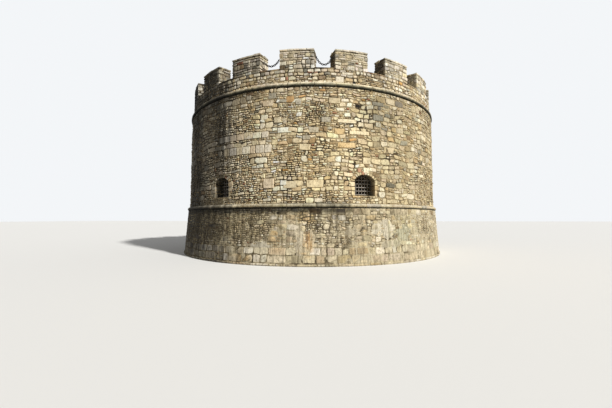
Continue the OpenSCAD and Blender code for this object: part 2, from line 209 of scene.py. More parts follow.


# %% [markdown]
# Some marks have a place of their own: the long run of damp on the left front, the rust that iron has bled
# down the foot, and painted light and shade: a painted shadow under the lower course, the edge of the painted
# shade on the left with a lighter strip and painted light thrown back at the rim, painted shadow of plants
# under the upper course, and painted shade on the parapet. Each is a soft-edged patch, given by where it lies
# and what it leaves of each colour. More than 1 makes a place lighter: bleached on the front, painted light
# on the left.

# %% Stains, and painted light and shade, with a place of their own
stains = [
    # azimuths, heights, soft edge in degrees and in metres, what is left of red, green and blue, how ragged
    ("run of damp", (-50, -42), (2.5, 7.2), 3.0, 0.5, (0.36, 0.36, 0.38), 0.7),
    # Damp, and painted shadow of the plants, under the upper course.
    ("damp and painted plant shadow under the upper course", (-32, -12), (6.85, 7.3), 4.0, 0.25, (0.55, 0.55, 0.55), 0.9),
    # Painted shade: a darker edge where the shade on the left begins.
    ("edge of the painted shade", (-28.5, -26), (2.5, 7.2), 1.5, 0.5, (0.62, 0.62, 0.62), 0.8),
    # Painted light: a lighter strip in the painted shade.
    ("lighter strip in the painted shade", (-38, -31), (3.0, 6.7), 2.5, 0.6, (1.60, 1.57, 1.50), 0.9),
    # Painted light thrown back on the left rim.
    ("painted reflected light", (-82, -56), (2.5, 7.0), 4.0, 0.5, (1.50, 1.45, 1.36), 0.6),
    ("damp shoulder", (-66, -38), (5.6, 7.3), 9.0, 1.2, (0.62, 0.63, 0.65), 0.8),
    ("black crust", (-62, -33), (0.7, 2.2), 6.0, 0.4, (0.42, 0.42, 0.46), 0.9),
    ("bleached", (-14, 24), (2.6, 7.0), 7.0, 0.6, (1.15, 1.14, 1.11), 0.6),
    ("warm wash", (9, 27), (3.2, 5.1), 7.0, 0.7, (1.0, 0.97, 0.90), 0.5),
    ("grey lichen", (26, 36), (5.75, 7.0), 3.5, 0.3, (0.78, 0.81, 0.84), 0.6),
    ("warm side", (32, 80), (2.8, 6.9), 10.0, 0.8, (0.80, 0.78, 0.71), 0.4),
    ("damp side", (19, 66), (0.2, 2.24), 8.0, 0.4, (0.86, 0.85, 0.82), 0.7),
    ("soot", (-5, 19), (2.27, 2.52), 4.0, 0.05, (0.56, 0.58, 0.57), 0.9),
    ("soot drips", (7, 18), (1.9, 2.3), 3.0, 0.25, (0.66, 0.66, 0.64), 1.0),
    ("damp under the course", (-50, -10), (1.15, 2.25), 8.0, 0.55, (0.62, 0.59, 0.51), 0.8),
    ("rust", (5.9, 7.5), (0.60, 0.98), 1.0, 0.22, (0.92, 0.77, 0.60), 1.6),
    ("rusty mark", (6.3, 7.0), (1.02, 1.28), 0.5, 0.1, (0.66, 0.53, 0.41), 1.2),
    ("brown run", (-4.3, -1.0), (0.7, 1.45), 1.2, 0.3, (0.86, 0.80, 0.72), 1.0),
    # Painted shadow under the lower course: a thin dark line and a broader black band.
    ("painted shadow line under the course", (-78, 20), (2.15, 2.30), 6.0, 0.05, (0.26, 0.25, 0.21), 0.8),
    ("painted shadow band under the course", (-70, 0), (2.05, 2.30), 5.0, 0.05, (0.36, 0.35, 0.31), 0.9),
    # Black lichen, and painted shade on the parapet of the shady side.
    ("black parapet in painted shade", (-50, -27), (7.45, 8.05), 4.0, 0.15, (0.60, 0.60, 0.60), 0.9),
    ("ochre run", (4.6, 8.4), (1.75, 2.12), 1.4, 0.1, (0.98, 0.88, 0.71), 0.4),
    ("brown foot", (-16.5, -13), (0.1, 0.40), 1.5, 0.08, (0.78, 0.66, 0.50), 0.5),
    ("green smear", (36, 46), (0.8, 1.9), 4.0, 0.3, (0.88, 0.90, 0.84), 0.8),
    ("rust again", (-128, -126), (0.5, 1.5), 1.0, 0.3, (0.90, 0.66, 0.46), 0.4),
    ("damp behind", (138, 152), (2.6, 6.8), 5.0, 0.7, (0.56, 0.56, 0.54), 0.8),
]


# %% [markdown]
# The weather is then worked out for any points of the masonry: the shady side, darkened partly for lichen and
# partly as painted shade, the darker band under the upper course, the drips down the foot, the lichen on the
# crown, the splashed ground course, and last the stains that have a place, some of them painted light and
# shade. It darkens a stone, and it also takes the colour out of it, so both are kept.

# %% Weather at any point of the wall
painted_shade_side = (-150, -26)
painted_shade_edge = 8
band_under_upper_course = 0.45
drip_colour = np.array([0.66, 0.72, 0.82])
splash_height = 0.16


def weather(points):
    """What weather and painted shade leave of each colour at points of the masonry, and how grey they are."""
    turn = np.arctan2(points[..., 0], -points[..., 1])
    degrees = np.degrees(turn)
    z = points[..., 2]
    patches = waver(turn, z, 11, 9, 1.2)
    drips = waver(turn, z, 12, 150, 0.30)
    thin_drips = waver(turn, z, 14, 260, 0.45)
    fine = waver(turn, z, 13, 190, 13.0)
    light = 1 + 0.05 * patches + 0.045 * fine
    # Painted shade, partly lichen: the side away from the sun is darkened.
    lichen_and_painted_shade = bump_between(degrees + 2.0 * drips, *painted_shade_side, painted_shade_edge)
    light *= 1 - 0.67 * lichen_and_painted_shade * (0.90 + 0.25 * patches)
    # A darker band under the upper course.
    below_upper = np.clip(1 - (upper_z - z) / band_under_upper_course, 0, 1) * (z < upper_z)
    light *= 1 - 0.30 * below_upper * np.clip(0.4 + 0.5 * drips + 0.4 * lichen_and_painted_shade, 0, 1)
    light = light[..., None] * np.ones(3)
    foot = (z < course_z) * np.clip(z / 0.5, 0, 1)
    run = foot * np.clip(0.10 + 0.42 * drips + 0.40 * thin_drips + 0.12 * patches, 0, 1)
    high = 0.22 + 0.45 * np.clip((z - 0.6) / 1.2, 0, 1)
    light *= 1 - (run * high)[..., None] * drip_colour
    crown = np.clip((z - parapet_z) / 0.3, 0, 1)
    lichen = crown * np.clip(-0.30 + 0.35 * patches + 0.50 * fine + 0.5 * lichen_and_painted_shade, 0, 1)
    light *= 1 - 0.34 * lichen[..., None]
    light *= (1 - 0.16 * np.clip(1 - z / splash_height, 0, 1))[..., None]
    for _, azimuths, heights, soft, soft_z, left, ragged in stains:
        edge = ragged * (0.6 * soft * drips + 0.3 * soft * fine)
        edge_z = ragged * soft_z * (0.7 * drips + 0.5 * thin_drips)
        much = bump_between(degrees + edge, *azimuths, soft) * bump_between(z + edge_z, *heights, soft_z)
        light *= 1 - much[..., None] * (1 - np.array(left))
    grey = np.clip(0.10 + 0.4 * lichen_and_painted_shade + 0.25 * run + 0.30 * lichen + 0.10 * patches, 0, 0.75)
    return np.clip(light, 0.12, 1.25), grey


def greyed(colours, much, tint):
    """Colours moved towards grey of their own lightness, times a tint."""
    return colours * (1 - much) + colours.mean(-1, keepdims=True) * np.array(tint) * much


def weathered(colours, points):
    """Colours at points, darkened and greyed by the weather and by painted light and shade."""
    light, grey = weather(points)
    return np.clip(greyed(colours, grey[..., None], (1.02, 0.99, 0.90)) * light, 0.006, 0.90)


def weathered_stones(colours, points):
    """One colour for each stone, weathered at each of the stone's points."""
    own = colours.reshape(len(colours), *[1] * (points.ndim - 2), 3)
    return weathered(np.broadcast_to(own, points.shape), points)


print("cream at the foot of the front:", weathered(stone_colours["cream"], np.array([[0.0, -foot_radius, 1.0]])))


# %% [markdown]
# ## Materials
# Stone, mortar, plaster and iron are all built from a few kinds of node: noise on Object coordinates, ramps
# that turn it into colours, and mixes. They could be added by hand in the shader editor. Here a small helper
# adds a node and sets or links its inputs, so that each material reads like a list. Object coordinates are
# metres on the tower, so every pattern has its real size.

# %% Node helpers
full = (1.0, 1.0, 1.0)
none = (0.0, 0.0, 0.0)


def node_tree(name):
    """A new material, its nodes and its shader."""
    material = bpy.data.materials.new(name)
    material.use_nodes = True
    tree = material.node_tree
    tree.nodes.clear()
    output = tree.nodes.new("ShaderNodeOutputMaterial")
    shader = tree.nodes.new("ShaderNodeBsdfPrincipled")
    tree.links.new(shader.outputs["BSDF"], output.inputs["Surface"])
    return material, tree, shader


def add(tree, kind, inputs=None, **settings):
    """Adds a node, sets its properties, and links or sets its inputs."""
    node = tree.nodes.new(kind)
    for key, value in settings.items():
        setattr(node, key, value)
    for key, value in (inputs or {}).items():
        if isinstance(value, bpy.types.NodeSocket):
            tree.links.new(value, node.inputs[key])
        else:
            node.inputs[key].default_value = value
    return node


def object_place(tree):
    return add(tree, "ShaderNodeTexCoord").outputs["Object"]


def calc(tree, operation, *values):
    """A Math node's result."""
    return add(tree, "ShaderNodeMath", dict(enumerate(values)), operation=operation).outputs[0]


def remap(tree, value, low, high, at_low=0.0, at_high=1.0):
    """A value's place between low and high, as a number from at_low to at_high."""
    return add(tree, "ShaderNodeMapRange", {"Value": value, "From Min": low, "From Max": high, "To Min": at_low,
                                            "To Max": at_high}).outputs[0]


def ramp(tree, factor, stops):
    """A colour ramp with (place, (r, g, b)) stops."""
    node = add(tree, "ShaderNodeValToRGB", {"Fac": factor})
    band = node.color_ramp
    while len(band.elements) < len(stops):
        band.elements.new(0.5)
    for element, (place, colour) in zip(band.elements, stops):
        element.position = place
        element.color = (*colour, 1)
    return node.outputs["Color"]


def blend(tree, factor, first, second, how="MIX"):
    """Two colours mixed, or multiplied, by a factor."""
    node = tree.nodes.new("ShaderNodeMix")
    node.data_type = "RGBA"
    node.blend_type = how
    for socket, value in ((node.inputs["Factor"], factor), (node.inputs[6], first), (node.inputs[7], second)):
        if isinstance(value, bpy.types.NodeSocket):
            tree.links.new(value, socket)
        else:
            socket.default_value = value if isinstance(value, float) else (*value, 1)
    return node.outputs[2]


def noise(tree, place, scale, detail=4.0, rough=0.6):
    """Noise with a number of spots in a metre."""
    node = add(tree, "ShaderNodeTexNoise", {"Vector": place, "Scale": scale, "Detail": detail, "Roughness": rough})
    return node.outputs["Fac"]


# %% [markdown]
# Every stone finish ends alike: the surface is matt with a faint gloss, and two noises make its height, three
# quarters coarse and one quarter fine. The bump's distance is in metres, as the stones' real roughness is.

# %% Finish that all stone shares
def finish_stone(tree, shader, colour, coarse, fine, strength=0.5, depth=0.012, rough=0.9):
    """Colour, roughness and bump that every stone finish shares."""
    tree.links.new(colour, shader.inputs["Base Color"])
    shader.inputs["Roughness"].default_value = rough
    shader.inputs["Specular IOR Level"].default_value = 0.25
    height = calc(tree, "MULTIPLY_ADD", fine, 0.25, calc(tree, "MULTIPLY", coarse, 0.75))
    bump = add(tree, "ShaderNodeBump", {"Height": height, "Strength": strength, "Distance": depth})
    tree.links.new(bump.outputs["Normal"], shader.inputs["Normal"])


# %% [markdown]
# ## Limestone
# The laid stones are hard, matt limestone: mottled over a hand's breadth, grainy, pitted, and streaked by
# rain. Each stone's own colour comes from the mesh, and the noises multiply it, so one material gives
# thousands of different stones. The streaks are the same noise pulled out in height. The left side sees more
# rain than the right, so a map range on the Object coordinates' X makes the streaks stronger there.

# %% Limestone of the laid stones
def rain_streaks(tree, place, darkest, palest=1.08):
    """Dark and pale drips: noise that is narrow across and long in height, in two widths."""
    drip = (darkest, darkest * 0.95, darkest * 0.86)
    lime = (palest, palest * 0.99, palest * 0.96)
    wide = add(tree, "ShaderNodeMapping", {"Vector": place, "Scale": (7.0, 7.0, 0.45)}).outputs[0]
    narrow = add(tree, "ShaderNodeMapping", {"Vector": place, "Scale": (19.0, 19.0, 1.5)}).outputs[0]
    stops = [(0.40, drip), (0.50, full), (0.66, lime)]
    return blend(tree, 0.65, ramp(tree, noise(tree, wide, 1.0, 7.0, 0.74), stops),
                 ramp(tree, noise(tree, narrow, 1.0, 5.0, 0.7), stops), "MULTIPLY")


def limestone_material(name, darkest_drip, palest_drip=1.06):
    """Mottle, specks, streaks, pits and lichen, each multiplied into the stone's own colour."""
    material, tree, shader = node_tree(name)
    place = object_place(tree)
    own = add(tree, "ShaderNodeAttribute", attribute_name="stone_colour").outputs["Color"]
    mottle = noise(tree, place, 11.0, 5.0, 0.68)
    grain = noise(tree, place, 70.0, 4.0, 0.7)
    coarse = noise(tree, place, 22.0, 6.0, 0.62)
    pits = add(tree, "ShaderNodeTexVoronoi", {"Vector": place, "Scale": 55.0}).outputs["Distance"]
    shades = ramp(tree, mottle, [(0.34, (0.52, 0.50, 0.46)), (0.46, (0.97, 0.96, 0.94)),
                                 (0.66, (1.20, 1.19, 1.17))])
    colour = blend(tree, 1.0, own, shades, "MULTIPLY")
    speck = ramp(tree, grain, [(0.30, (0.72, 0.70, 0.66)), (0.50, full), (0.80, (1.12, 1.11, 1.08))])
    colour = blend(tree, 0.8, colour, speck, "MULTIPLY")
    side = add(tree, "ShaderNodeSeparateXYZ", {"Vector": place}).outputs["X"]
    wetness = remap(tree, side, -3.0, 3.0, 1.0, 0.55)
    colour = blend(tree, wetness, colour, rain_streaks(tree, place, darkest_drip, palest_drip), "MULTIPLY")
    holes = ramp(tree, pits, [(0.06, (0.50, 0.47, 0.43)), (0.22, full)])
    colour = blend(tree, 0.5, colour, holes, "MULTIPLY")
    lichen = ramp(tree, noise(tree, place, 3.1, 7.0, 0.75), [(0.60, none), (0.70, full)])
    colour = blend(tree, lichen, colour, blend(tree, 1.0, colour, (0.70, 0.70, 0.64), "MULTIPLY"))
    finish_stone(tree, shader, colour, coarse, grain, 0.6, 0.016)
    return material


# %% [markdown]
# ## Mortar
# The joints are old lime mortar, as pale as the stones where it is whole, and dark with soil where rain has
# washed it out. A noise of about a hand's breadth decides which, so that a joint is dark for a little way
# and then fades. The sheltered right side has kept more of it, so a little of the Object coordinates' X is
# added to the noise. On the foot and the merlons the joints were pointed again and lie nearly flush, so
# there the mortar is paler.
#
# Three limestones are made with it: the common one, and two with stronger drips and bleached streaks, for the
# foot and for the merlons.

# %% Mortar between the stones
def mortar_look(tree, place, dark, middle, pale, darkest_drip):
    """Colour, and the two noises for the bump."""
    washed = noise(tree, place, 6.0, 5.0, 0.65)
    patches = noise(tree, place, 0.9, 4.0, 0.6)
    both = calc(tree, "MULTIPLY_ADD", washed, 0.55, calc(tree, "MULTIPLY", patches, 0.45))
    side = add(tree, "ShaderNodeSeparateXYZ", {"Vector": place}).outputs["X"]
    both = calc(tree, "MULTIPLY_ADD", side, 0.010, both)
    grain = noise(tree, place, 60.0, 5.0, 0.7)
    coarse = noise(tree, place, 14.0, 5.0, 0.6)
    colour = ramp(tree, both, [(0.445, dark), (0.505, middle), (0.565, pale)])
    speck = ramp(tree, grain, [(0.32, (0.66, 0.64, 0.60)), (0.55, full), (0.78, (1.18, 1.16, 1.12))])
    colour = blend(tree, 0.9, colour, speck, "MULTIPLY")
    colour = blend(tree, 0.9, colour, rain_streaks(tree, place, darkest_drip), "MULTIPLY")
    return colour, coarse, grain


def mortar_material(name, dark, middle, pale, darkest_drip=0.8):
    material, tree, shader = node_tree(name)
    place = object_place(tree)
    colour, coarse, grain = mortar_look(tree, place, dark, middle, pale, darkest_drip)
    finish_stone(tree, shader, colour, coarse, grain, 0.7, 0.02, 0.95)
    return material


limestone = limestone_material("limestone", 0.76)
crown_limestone = limestone_material("crown_limestone", 0.46, 1.20)
foot_limestone = limestone_material("streaked_limestone", 0.42, 1.22)
joint_shades = [paint(52, 45, 34), paint(108, 94, 70), paint(180, 164, 131)]
pointing_shades = [paint(92, 82, 63), paint(150, 137, 109), paint(198, 186, 156)]
mortar = mortar_material("lime_mortar", *joint_shades)
crown_mortar = mortar_material("crown_mortar", paint(66, 58, 44), paint(132, 121, 98), paint(194, 183, 156))
bedding = mortar_material("paving_bed", paint(74, 70, 58), paint(96, 90, 76), paint(118, 111, 94))

# %% [markdown]
# ## Masonry inside
# The rooms inside are rubble too, under a thin wash of lime that has worn off the stones' faces. They are
# seen only through the windows and the doorway, so this is a pattern and not laid stone by stone: Voronoi
# cells, flattened in height, make the stones, and the distance to a cell's edge makes the joints. The
# pattern fills space, so it needs no unwrapping. Close to the outer face the same solid shows between the
# laid stones, so there the material turns to mortar, by the distance from the tower's axis. On the foot that
# mortar turns black in the last hand's breadth under the lower course, from the left round to the middle of
# the front, as painted shadow of the course.

# %% Rubble seen inside, mortar outside
def masonry_material(name, shades, darkest_drip, painted_shadow_z=None):
    """Rubble under lime wash inside, and mortar in the given shades outside, black under a height as painted
    shadow.
    """
    material, tree, shader = node_tree(name)
    place = object_place(tree)
    flat = add(tree, "ShaderNodeMapping", {"Vector": place, "Scale": (2.9, 2.9, 5.0)}).outputs[0]
    wave = add(tree, "ShaderNodeTexNoise", {"Vector": place, "Scale": 2.4, "Detail": 3.0}).outputs["Color"]
    bent = add(tree, "ShaderNodeVectorMath", {0: wave, 1: (0.35, 0.35, 0.35), 2: flat}, operation="MULTIPLY_ADD")
    laid = {"Vector": bent.outputs[0], "Scale": 1.0, "Randomness": 0.85}
    cells = add(tree, "ShaderNodeTexVoronoi", laid)
    edges = add(tree, "ShaderNodeTexVoronoi", laid, feature="DISTANCE_TO_EDGE").outputs["Distance"]
    own = add(tree, "ShaderNodeSeparateColor", {"Color": cells.outputs["Color"]}).outputs["Red"]
    stone = ramp(tree, own, [(0.05, stone_colours["sand"]), (0.35, stone_colours["buff"]),
                             (0.65, stone_colours["cream"]), (0.95, stone_colours["grey"])])
    rough = noise(tree, place, 12.0, 6.0, 0.65)
    stone = blend(tree, 0.8, stone, ramp(tree, rough, [(0.3, (0.66, 0.64, 0.60)), (0.6, full)]), "MULTIPLY")
    joint = ramp(tree, edges, [(0.03, none), (0.09, full)])
    wall = blend(tree, joint, paint(112, 99, 76), stone)
    wash = ramp(tree, noise(tree, place, 1.7, 8.0, 0.7), [(0.50, none), (0.60, (0.75, 0.75, 0.75))])
    wall = blend(tree, wash, wall, paint(212, 205, 188))
    outside, coarse, grain = mortar_look(tree, place, *shades, darkest_drip)
    # Painted shadow: the mortar turns black just under the lower course, on the left and the front.
    if painted_shadow_z:
        spot = add(tree, "ShaderNodeSeparateXYZ", {"Vector": place}).outputs
        high = remap(tree, spot["Z"], painted_shadow_z - 0.22, painted_shadow_z - 0.10)
        left = remap(tree, spot["X"], 2.4, 0.4)
        painted_shadow = calc(tree, "MULTIPLY", high, left)
        outside = blend(tree, painted_shadow, outside, blend(tree, 1.0, outside, (0.16, 0.16, 0.14), "MULTIPLY"))
    flat_place = add(tree, "ShaderNodeVectorMath", {0: place, 1: (1.0, 1.0, 0.0)}, operation="MULTIPLY").outputs[0]
    away = add(tree, "ShaderNodeVectorMath", {0: flat_place}, operation="LENGTH").outputs["Value"]
    outer = calc(tree, "GREATER_THAN", away, parapet_inside + 0.1)
    height = blend(tree, outer, joint, coarse)
    finish_stone(tree, shader, blend(tree, outer, wall, outside), height, grain, 0.65, 0.02, 0.94)
    return material


drum_masonry = masonry_material("drum_masonry", joint_shades, 0.8)
foot_masonry = masonry_material("foot_masonry", pointing_shades, 0.45, course_z)

# %% [markdown]
# ## Iron
# The chains are old iron, almost black with a little rust. The window bars are the same iron, but paler:
# partly a weathered grey of their own, and partly painted light, so that they stay pale in the reveal's shade.
# Rust comes from one noise: the higher it is, the redder and the duller the metal.

# %% Wrought iron
def iron_material(name, clean, worn, rusty, metal):
    """Iron in three colours, by how rusty it is."""
    material, tree, shader = node_tree(name)
    place = object_place(tree)
    rust = noise(tree, place, 26.0, 6.0, 0.7)
    grain = noise(tree, place, 160.0, 3.0, 0.6)
    colour = ramp(tree, rust, [(0.35, clean), (0.54, worn), (0.74, rusty)])
    tree.links.new(colour, shader.inputs["Base Color"])
    shader.inputs["Metallic"].default_value = metal
    tree.links.new(remap(tree, rust, 0.0, 1.0, 0.5, 0.9), shader.inputs["Roughness"])
    bump = add(tree, "ShaderNodeBump", {"Height": grain, "Strength": 0.4, "Distance": 0.002})
    tree.links.new(bump.outputs["Normal"], shader.inputs["Normal"])
    return material


chain_iron = iron_material("chain_iron", (0.007, 0.007, 0.007), (0.013, 0.011, 0.010), (0.040, 0.023, 0.015), 0.1)
# Paler grey bars: partly their own grey, partly painted light
bar_iron = iron_material("bar_iron", (0.30, 0.29, 0.27), (0.40, 0.37, 0.33), (0.34, 0.20, 0.12), 0.15)

# %% [markdown]
# ## Lime plaster
# The domed vault over the gun room and its floor are rendered with lime plaster, stained by damp. Broad
# noise gives the damp, and fine noise the trowelled skin.

# %% Lime plaster
def plaster_material(name, clean, stained, scale):
    """Plaster with damp stains of a scale in a metre."""
    material, tree, shader = node_tree(name)
    place = object_place(tree)
    damp = noise(tree, place, scale, 8.0, 0.65)
    skin = noise(tree, place, 8.0, 6.0, 0.7)
    grain = noise(tree, place, 90.0, 4.0, 0.7)
    colour = ramp(tree, damp, [(0.34, stained), (0.50, clean), (0.70, np.minimum(1, clean * 1.12))])
    worn = ramp(tree, skin, [(0.35, (0.80, 0.78, 0.74)), (0.55, full)])
    colour = blend(tree, 0.6, colour, worn, "MULTIPLY")
    finish_stone(tree, shader, colour, skin, grain, 0.4, 0.01, 0.92)
    return material


plaster = plaster_material("lime_plaster", paint(205, 197, 178), paint(148, 138, 116), 0.9)
trodden = plaster_material("trodden_floor", paint(160, 148, 124), paint(112, 101, 82), 1.6)

# %% [markdown]
# ## The solids behind the stones
# Each solid keeps its shape and gets the finish that shows on it: mortar where stones are laid over it,
# rubble in the rooms, plaster on the vault, and iron on the chains.

# %% Finish the solids behind the stones
finishes = {"chain": chain_iron, "vault": plaster, "gun_floor": trodden, "scarp_wall": foot_masonry,
            "door": foot_masonry, "drum_pier": drum_masonry, "window": drum_masonry, "terrace_paving": bedding,
            "merlon": crown_mortar}


def finish_with(piece, material):
    """Gives a piece one material and no other."""
    piece.data.materials.clear()
    piece.data.materials.append(material)


for name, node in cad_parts.items():
    finish_with(node, next((finish for start, finish in finishes.items() if name.startswith(start)), mortar))
print("solids finished:", len(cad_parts))

# %% [markdown]
# ## How a stone is made
# A stone in a wall shows one rough face. Each is a small grid of points: the rim is sunk into the mortar,
# the next ring of points makes the arris, and the points inside stand proud by different amounts. All the
# stones of a wall are worked out together as one array, because thousands of separate objects would be
# slow. The corners are pulled in and the sides made ragged by a share of the stone's size, so that a small
# stone isn't torn apart. A stone that turns a corner has one column of its grid put right on the corner.

# %% Grid of points for every stone
least_half = 0.012
turned_end = 0.035
unevenness = 0.17
arris_share = 0.82


def stone_grid(cells, pick, columns=5, rows=5, joint=0.018, arris=0.016, corner=0.26, ragged=0.09, corners=()):
    """Places across and up for each stone's points, how proud each point stands, and which are rim."""
    left, right, low, high = np.array(cells, float).T
    half_width = np.maximum((right - left - joint) / 2, least_half)
    half_height = np.maximum((high - low - joint) / 2, least_half)

    def spread(half, count):
        edge = 1 - np.minimum(arris / half, 0.4)
        inner = edge[:, None] * np.linspace(-1, 1, count - 2)[None, :]
        rim = np.ones((len(half), 1))
        return np.concatenate([-rim, inner, rim], 1) * half[:, None]

    across = np.repeat(((left + right) / 2 + spread(half_width, columns).T).T[:, None, :], rows, 1)
    upward = np.repeat(((low + high) / 2 + spread(half_height, rows).T).T[:, :, None], columns, 2)
    small = np.minimum(half_width, half_height)
    for r, c in ((0, 0), (0, -1), (-1, 0), (-1, -1)):
        to_r, to_c = 1 + 2 * r, 1 + 2 * c
        pull = small * corner * pick.uniform(0.3, 1.2, len(small))
        for step, share in ((0, 1.0), (1, 0.7)):
            across[:, r + step * to_r, c + step * to_c] += pull * share * to_c
            upward[:, r + step * to_r, c + step * to_c] += pull * share * to_r
    for side in (0, -1):
        near = 1 if side == 0 else -2
        shift = small[:, None] * ragged * pick.uniform(-1, 1, (len(small), rows))
        across[:, :, side] += shift
        across[:, :, near] += shift
        shift = small[:, None] * ragged * pick.uniform(-1, 1, (len(small), columns))
        upward[:, side, :] += shift
        upward[:, near, :] += shift
    for place in corners:
        turns = (left + turned_end < place) & (place < right - turned_end)
        nearest = 1 + np.abs(across[:, rows // 2, 1:-1] - place).argmin(1)
        rowset = np.nonzero(turns)[0]
        across[rowset, :, nearest[rowset]] = place
    lift = 1 + pick.normal(0, unevenness, across.shape)
    r, c = np.arange(rows)[:, None], np.arange(columns)[None, :]
    ring = np.minimum(np.minimum(r, rows - 1 - r), np.minimum(c, columns - 1 - c))
    ring = np.broadcast_to(ring, across.shape)
    return across, upward, np.where(ring == 1, lift * arris_share, lift), ring == 0


# %% [markdown]
# ## From points to a piece
# Primitives and edit mode are the way to make one stone, but a wall has thousands, and each is different. So
# the points and faces of a whole stretch of wall are handed to one mesh at once. The colours go with them as
# an attribute on the points, and edges that turn by more than an angle stay sharp, which keeps an arris crisp.

# %% Mesh of all the stones in one piece
def deselect():
    """Back to object mode, with nothing selected."""
    if bpy.context.object and bpy.context.object.mode != "OBJECT":
        bpy.ops.object.mode_set(mode="OBJECT")
    bpy.ops.object.select_all(action="DESELECT")


def keep_colours(mesh, colours):
    """Stores a colour for each of the mesh's points."""
    layer = mesh.color_attributes.new("stone_colour", "FLOAT_COLOR", "POINT")
    layer.data.foreach_set("color", np.concatenate([colours, np.ones((len(colours), 1))], 1).ravel())


def build_mesh(name, points, faces, colours, angle=38, material=None):
    """One piece from points and faces, with a colour for each point."""
    mesh = bpy.data.meshes.new(name)
    mesh.from_pydata(points.tolist(), [], faces.tolist() if isinstance(faces, np.ndarray) else faces)
    keep_colours(mesh, colours)
    mesh.materials.append(material or limestone)
    piece = bpy.data.objects.new(name, mesh)
    bpy.context.scene.collection.objects.link(piece)
    deselect()
    piece.select_set(True)
    bpy.context.view_layer.objects.active = piece
    bpy.ops.object.shade_smooth_by_angle(angle=math.radians(angle))
    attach(piece, "root")
    triangles = sum(len(p.vertices) - 2 for p in mesh.polygons)
    print(f"{name}: {triangles} triangles")
    return piece


def build_stones(name, points, colours, angle=38, material=None):
    """One piece from grids of points, (stones, rows, columns, 3), with a colour for each point."""
    stones, rows, columns = points.shape[:3]
    index = np.arange(stones * rows * columns).reshape(stones, rows, columns)
    quads = np.stack([index[:, :-1, :-1], index[:, :-1, 1:], index[:, 1:, 1:], index[:, 1:, :-1]], -1)
    return build_mesh(name, points.reshape(-1, 3), quads.reshape(-1, 4), colours.reshape(-1, 3), angle,
                      material)


def build_parts(name, parts, share, points, colours, angle=38, material=None):
    """The stones shared out between pieces, by each stone's share of the way around the tower."""
    place = (share * parts) % parts
    for part in range(parts):
        mine = (place >= part) & (place < part + 1)
        label = f"{name}_{part + 1}" if parts > 1 else name
        build_stones(label, points[mine], colours[mine], angle, material)


# %% [markdown]
# ## How rubble is laid
# Rubble that is brought to courses has level beds every hand's breadth or two, and between two beds a
# single block, two flat stones or a handful of small ones. The layout walks along each course and draws
# one of these each time. A low course has single stones only, and where the wall was mended, nearly all of
# it is small stones. The layout only makes rectangles: the stones' ragged outlines and the waver of the beds
# come later.

# %% Lay the courses
mended_share = 0.85
low_course = 0.17


def bed_heights(bottom, top, low, high, pick):
    """Heights of the level beds, stretched to end on the top."""
    beds = [0.0]
    while beds[-1] < top - bottom:
        beds.append(beds[-1] + pick.uniform(low, high))
    return bottom + np.array(beds) * (top - bottom) / beds[-1]


def random_marks(left, right, least, most, count, pick):
    """Marks from left to right that part them into a number of uneven lengths."""
    marks = np.cumsum(pick.uniform(least, most, count))
    return left + (right - left) * np.concatenate([[0], marks / marks[-1]])


def split(cells, left, right, low, high, pick, layers):
    """Fills a rectangle with small stones in two or three layers."""
    cuts = random_marks(low, high, 0.7, 1.5, layers, pick)
    for bottom, top in zip(cuts[:-1], cuts[1:]):
        count = max(1, int(round((right - left) / ((top - bottom) * pick.uniform(1.2, 2.4)))))
        marks = random_marks(left, right, 0.6, 1.4, count, pick)
        cells.extend((a, b, bottom, top) for a, b in zip(marks[:-1], marks[1:]))


def lay_rubble(length, beds, pick, single=0.58, longest=2.1, fine_places=()):
    """Rectangles (left, right, low, high) that fill every course, with small stones in the fine places."""
    cells = []
    for low, high in zip(beds[:-1], beds[1:]):
        tall = high - low
        place = 0.0
        while place < length - 1e-6:
            wide = tall * pick.uniform(0.8, longest)
            if length - place - wide < 0.7 * tall:
                wide = length - place
            end = place + wide
            degrees = (place + end) / 2 / length * 360
            fine = any((degrees - a) % 360 <= b - a and c <= (low + high) / 2 <= d for a, b, c, d in fine_places)
            if fine and pick.random() < mended_share:
                split(cells, place, end, low, high, pick, 3 if tall > 0.20 else 2)
            elif tall < low_course or pick.random() < single:
                cells.append((place, end, low, high))
            else:
                split(cells, place, end, low, high, pick, 3 if tall > 0.29 else 2)
            place = end
    return cells


# %% [markdown]
# ## Openings and big stones in the rubble
# Rubble stops at the dressed edge of a window, at the doorway, and around the few big squared stones. Each
# of these is a shape that pushes points out to its own edge. A stone whose middle lies inside is left out,
# and so is one that the pushing squeezes too thin.

# %% Shapes that keep the rubble out
def arch_of(opening):
    """Radius of an opening's flat arch, height of its centre, and height where it springs."""
    width, rise, crown = opening["width"], opening["rise"], opening["crown"]
    radius = (width * width / 4 + rise * rise) / (2 * rise)
    return radius, crown - radius, crown - rise


def rectangle_shape(centre, middle, width, height):
    """Keeps out of a rectangle, centre and width along the wall, middle and height up it."""
    def push(across, upward):
        du = across - centre
        dv = upward - middle
        deep_u = width / 2 - np.abs(du)
        deep_v = height / 2 - np.abs(dv)
        inside = (deep_u > 0) & (deep_v > 0)
        sideways = inside & (deep_u <= deep_v)
        upright = inside & (deep_u > deep_v)
        across = np.where(sideways, centre + np.sign(du) * width / 2, across)
        upward = np.where(upright, middle + np.sign(dv) * height / 2, upward)
        return across, upward, inside
    return push


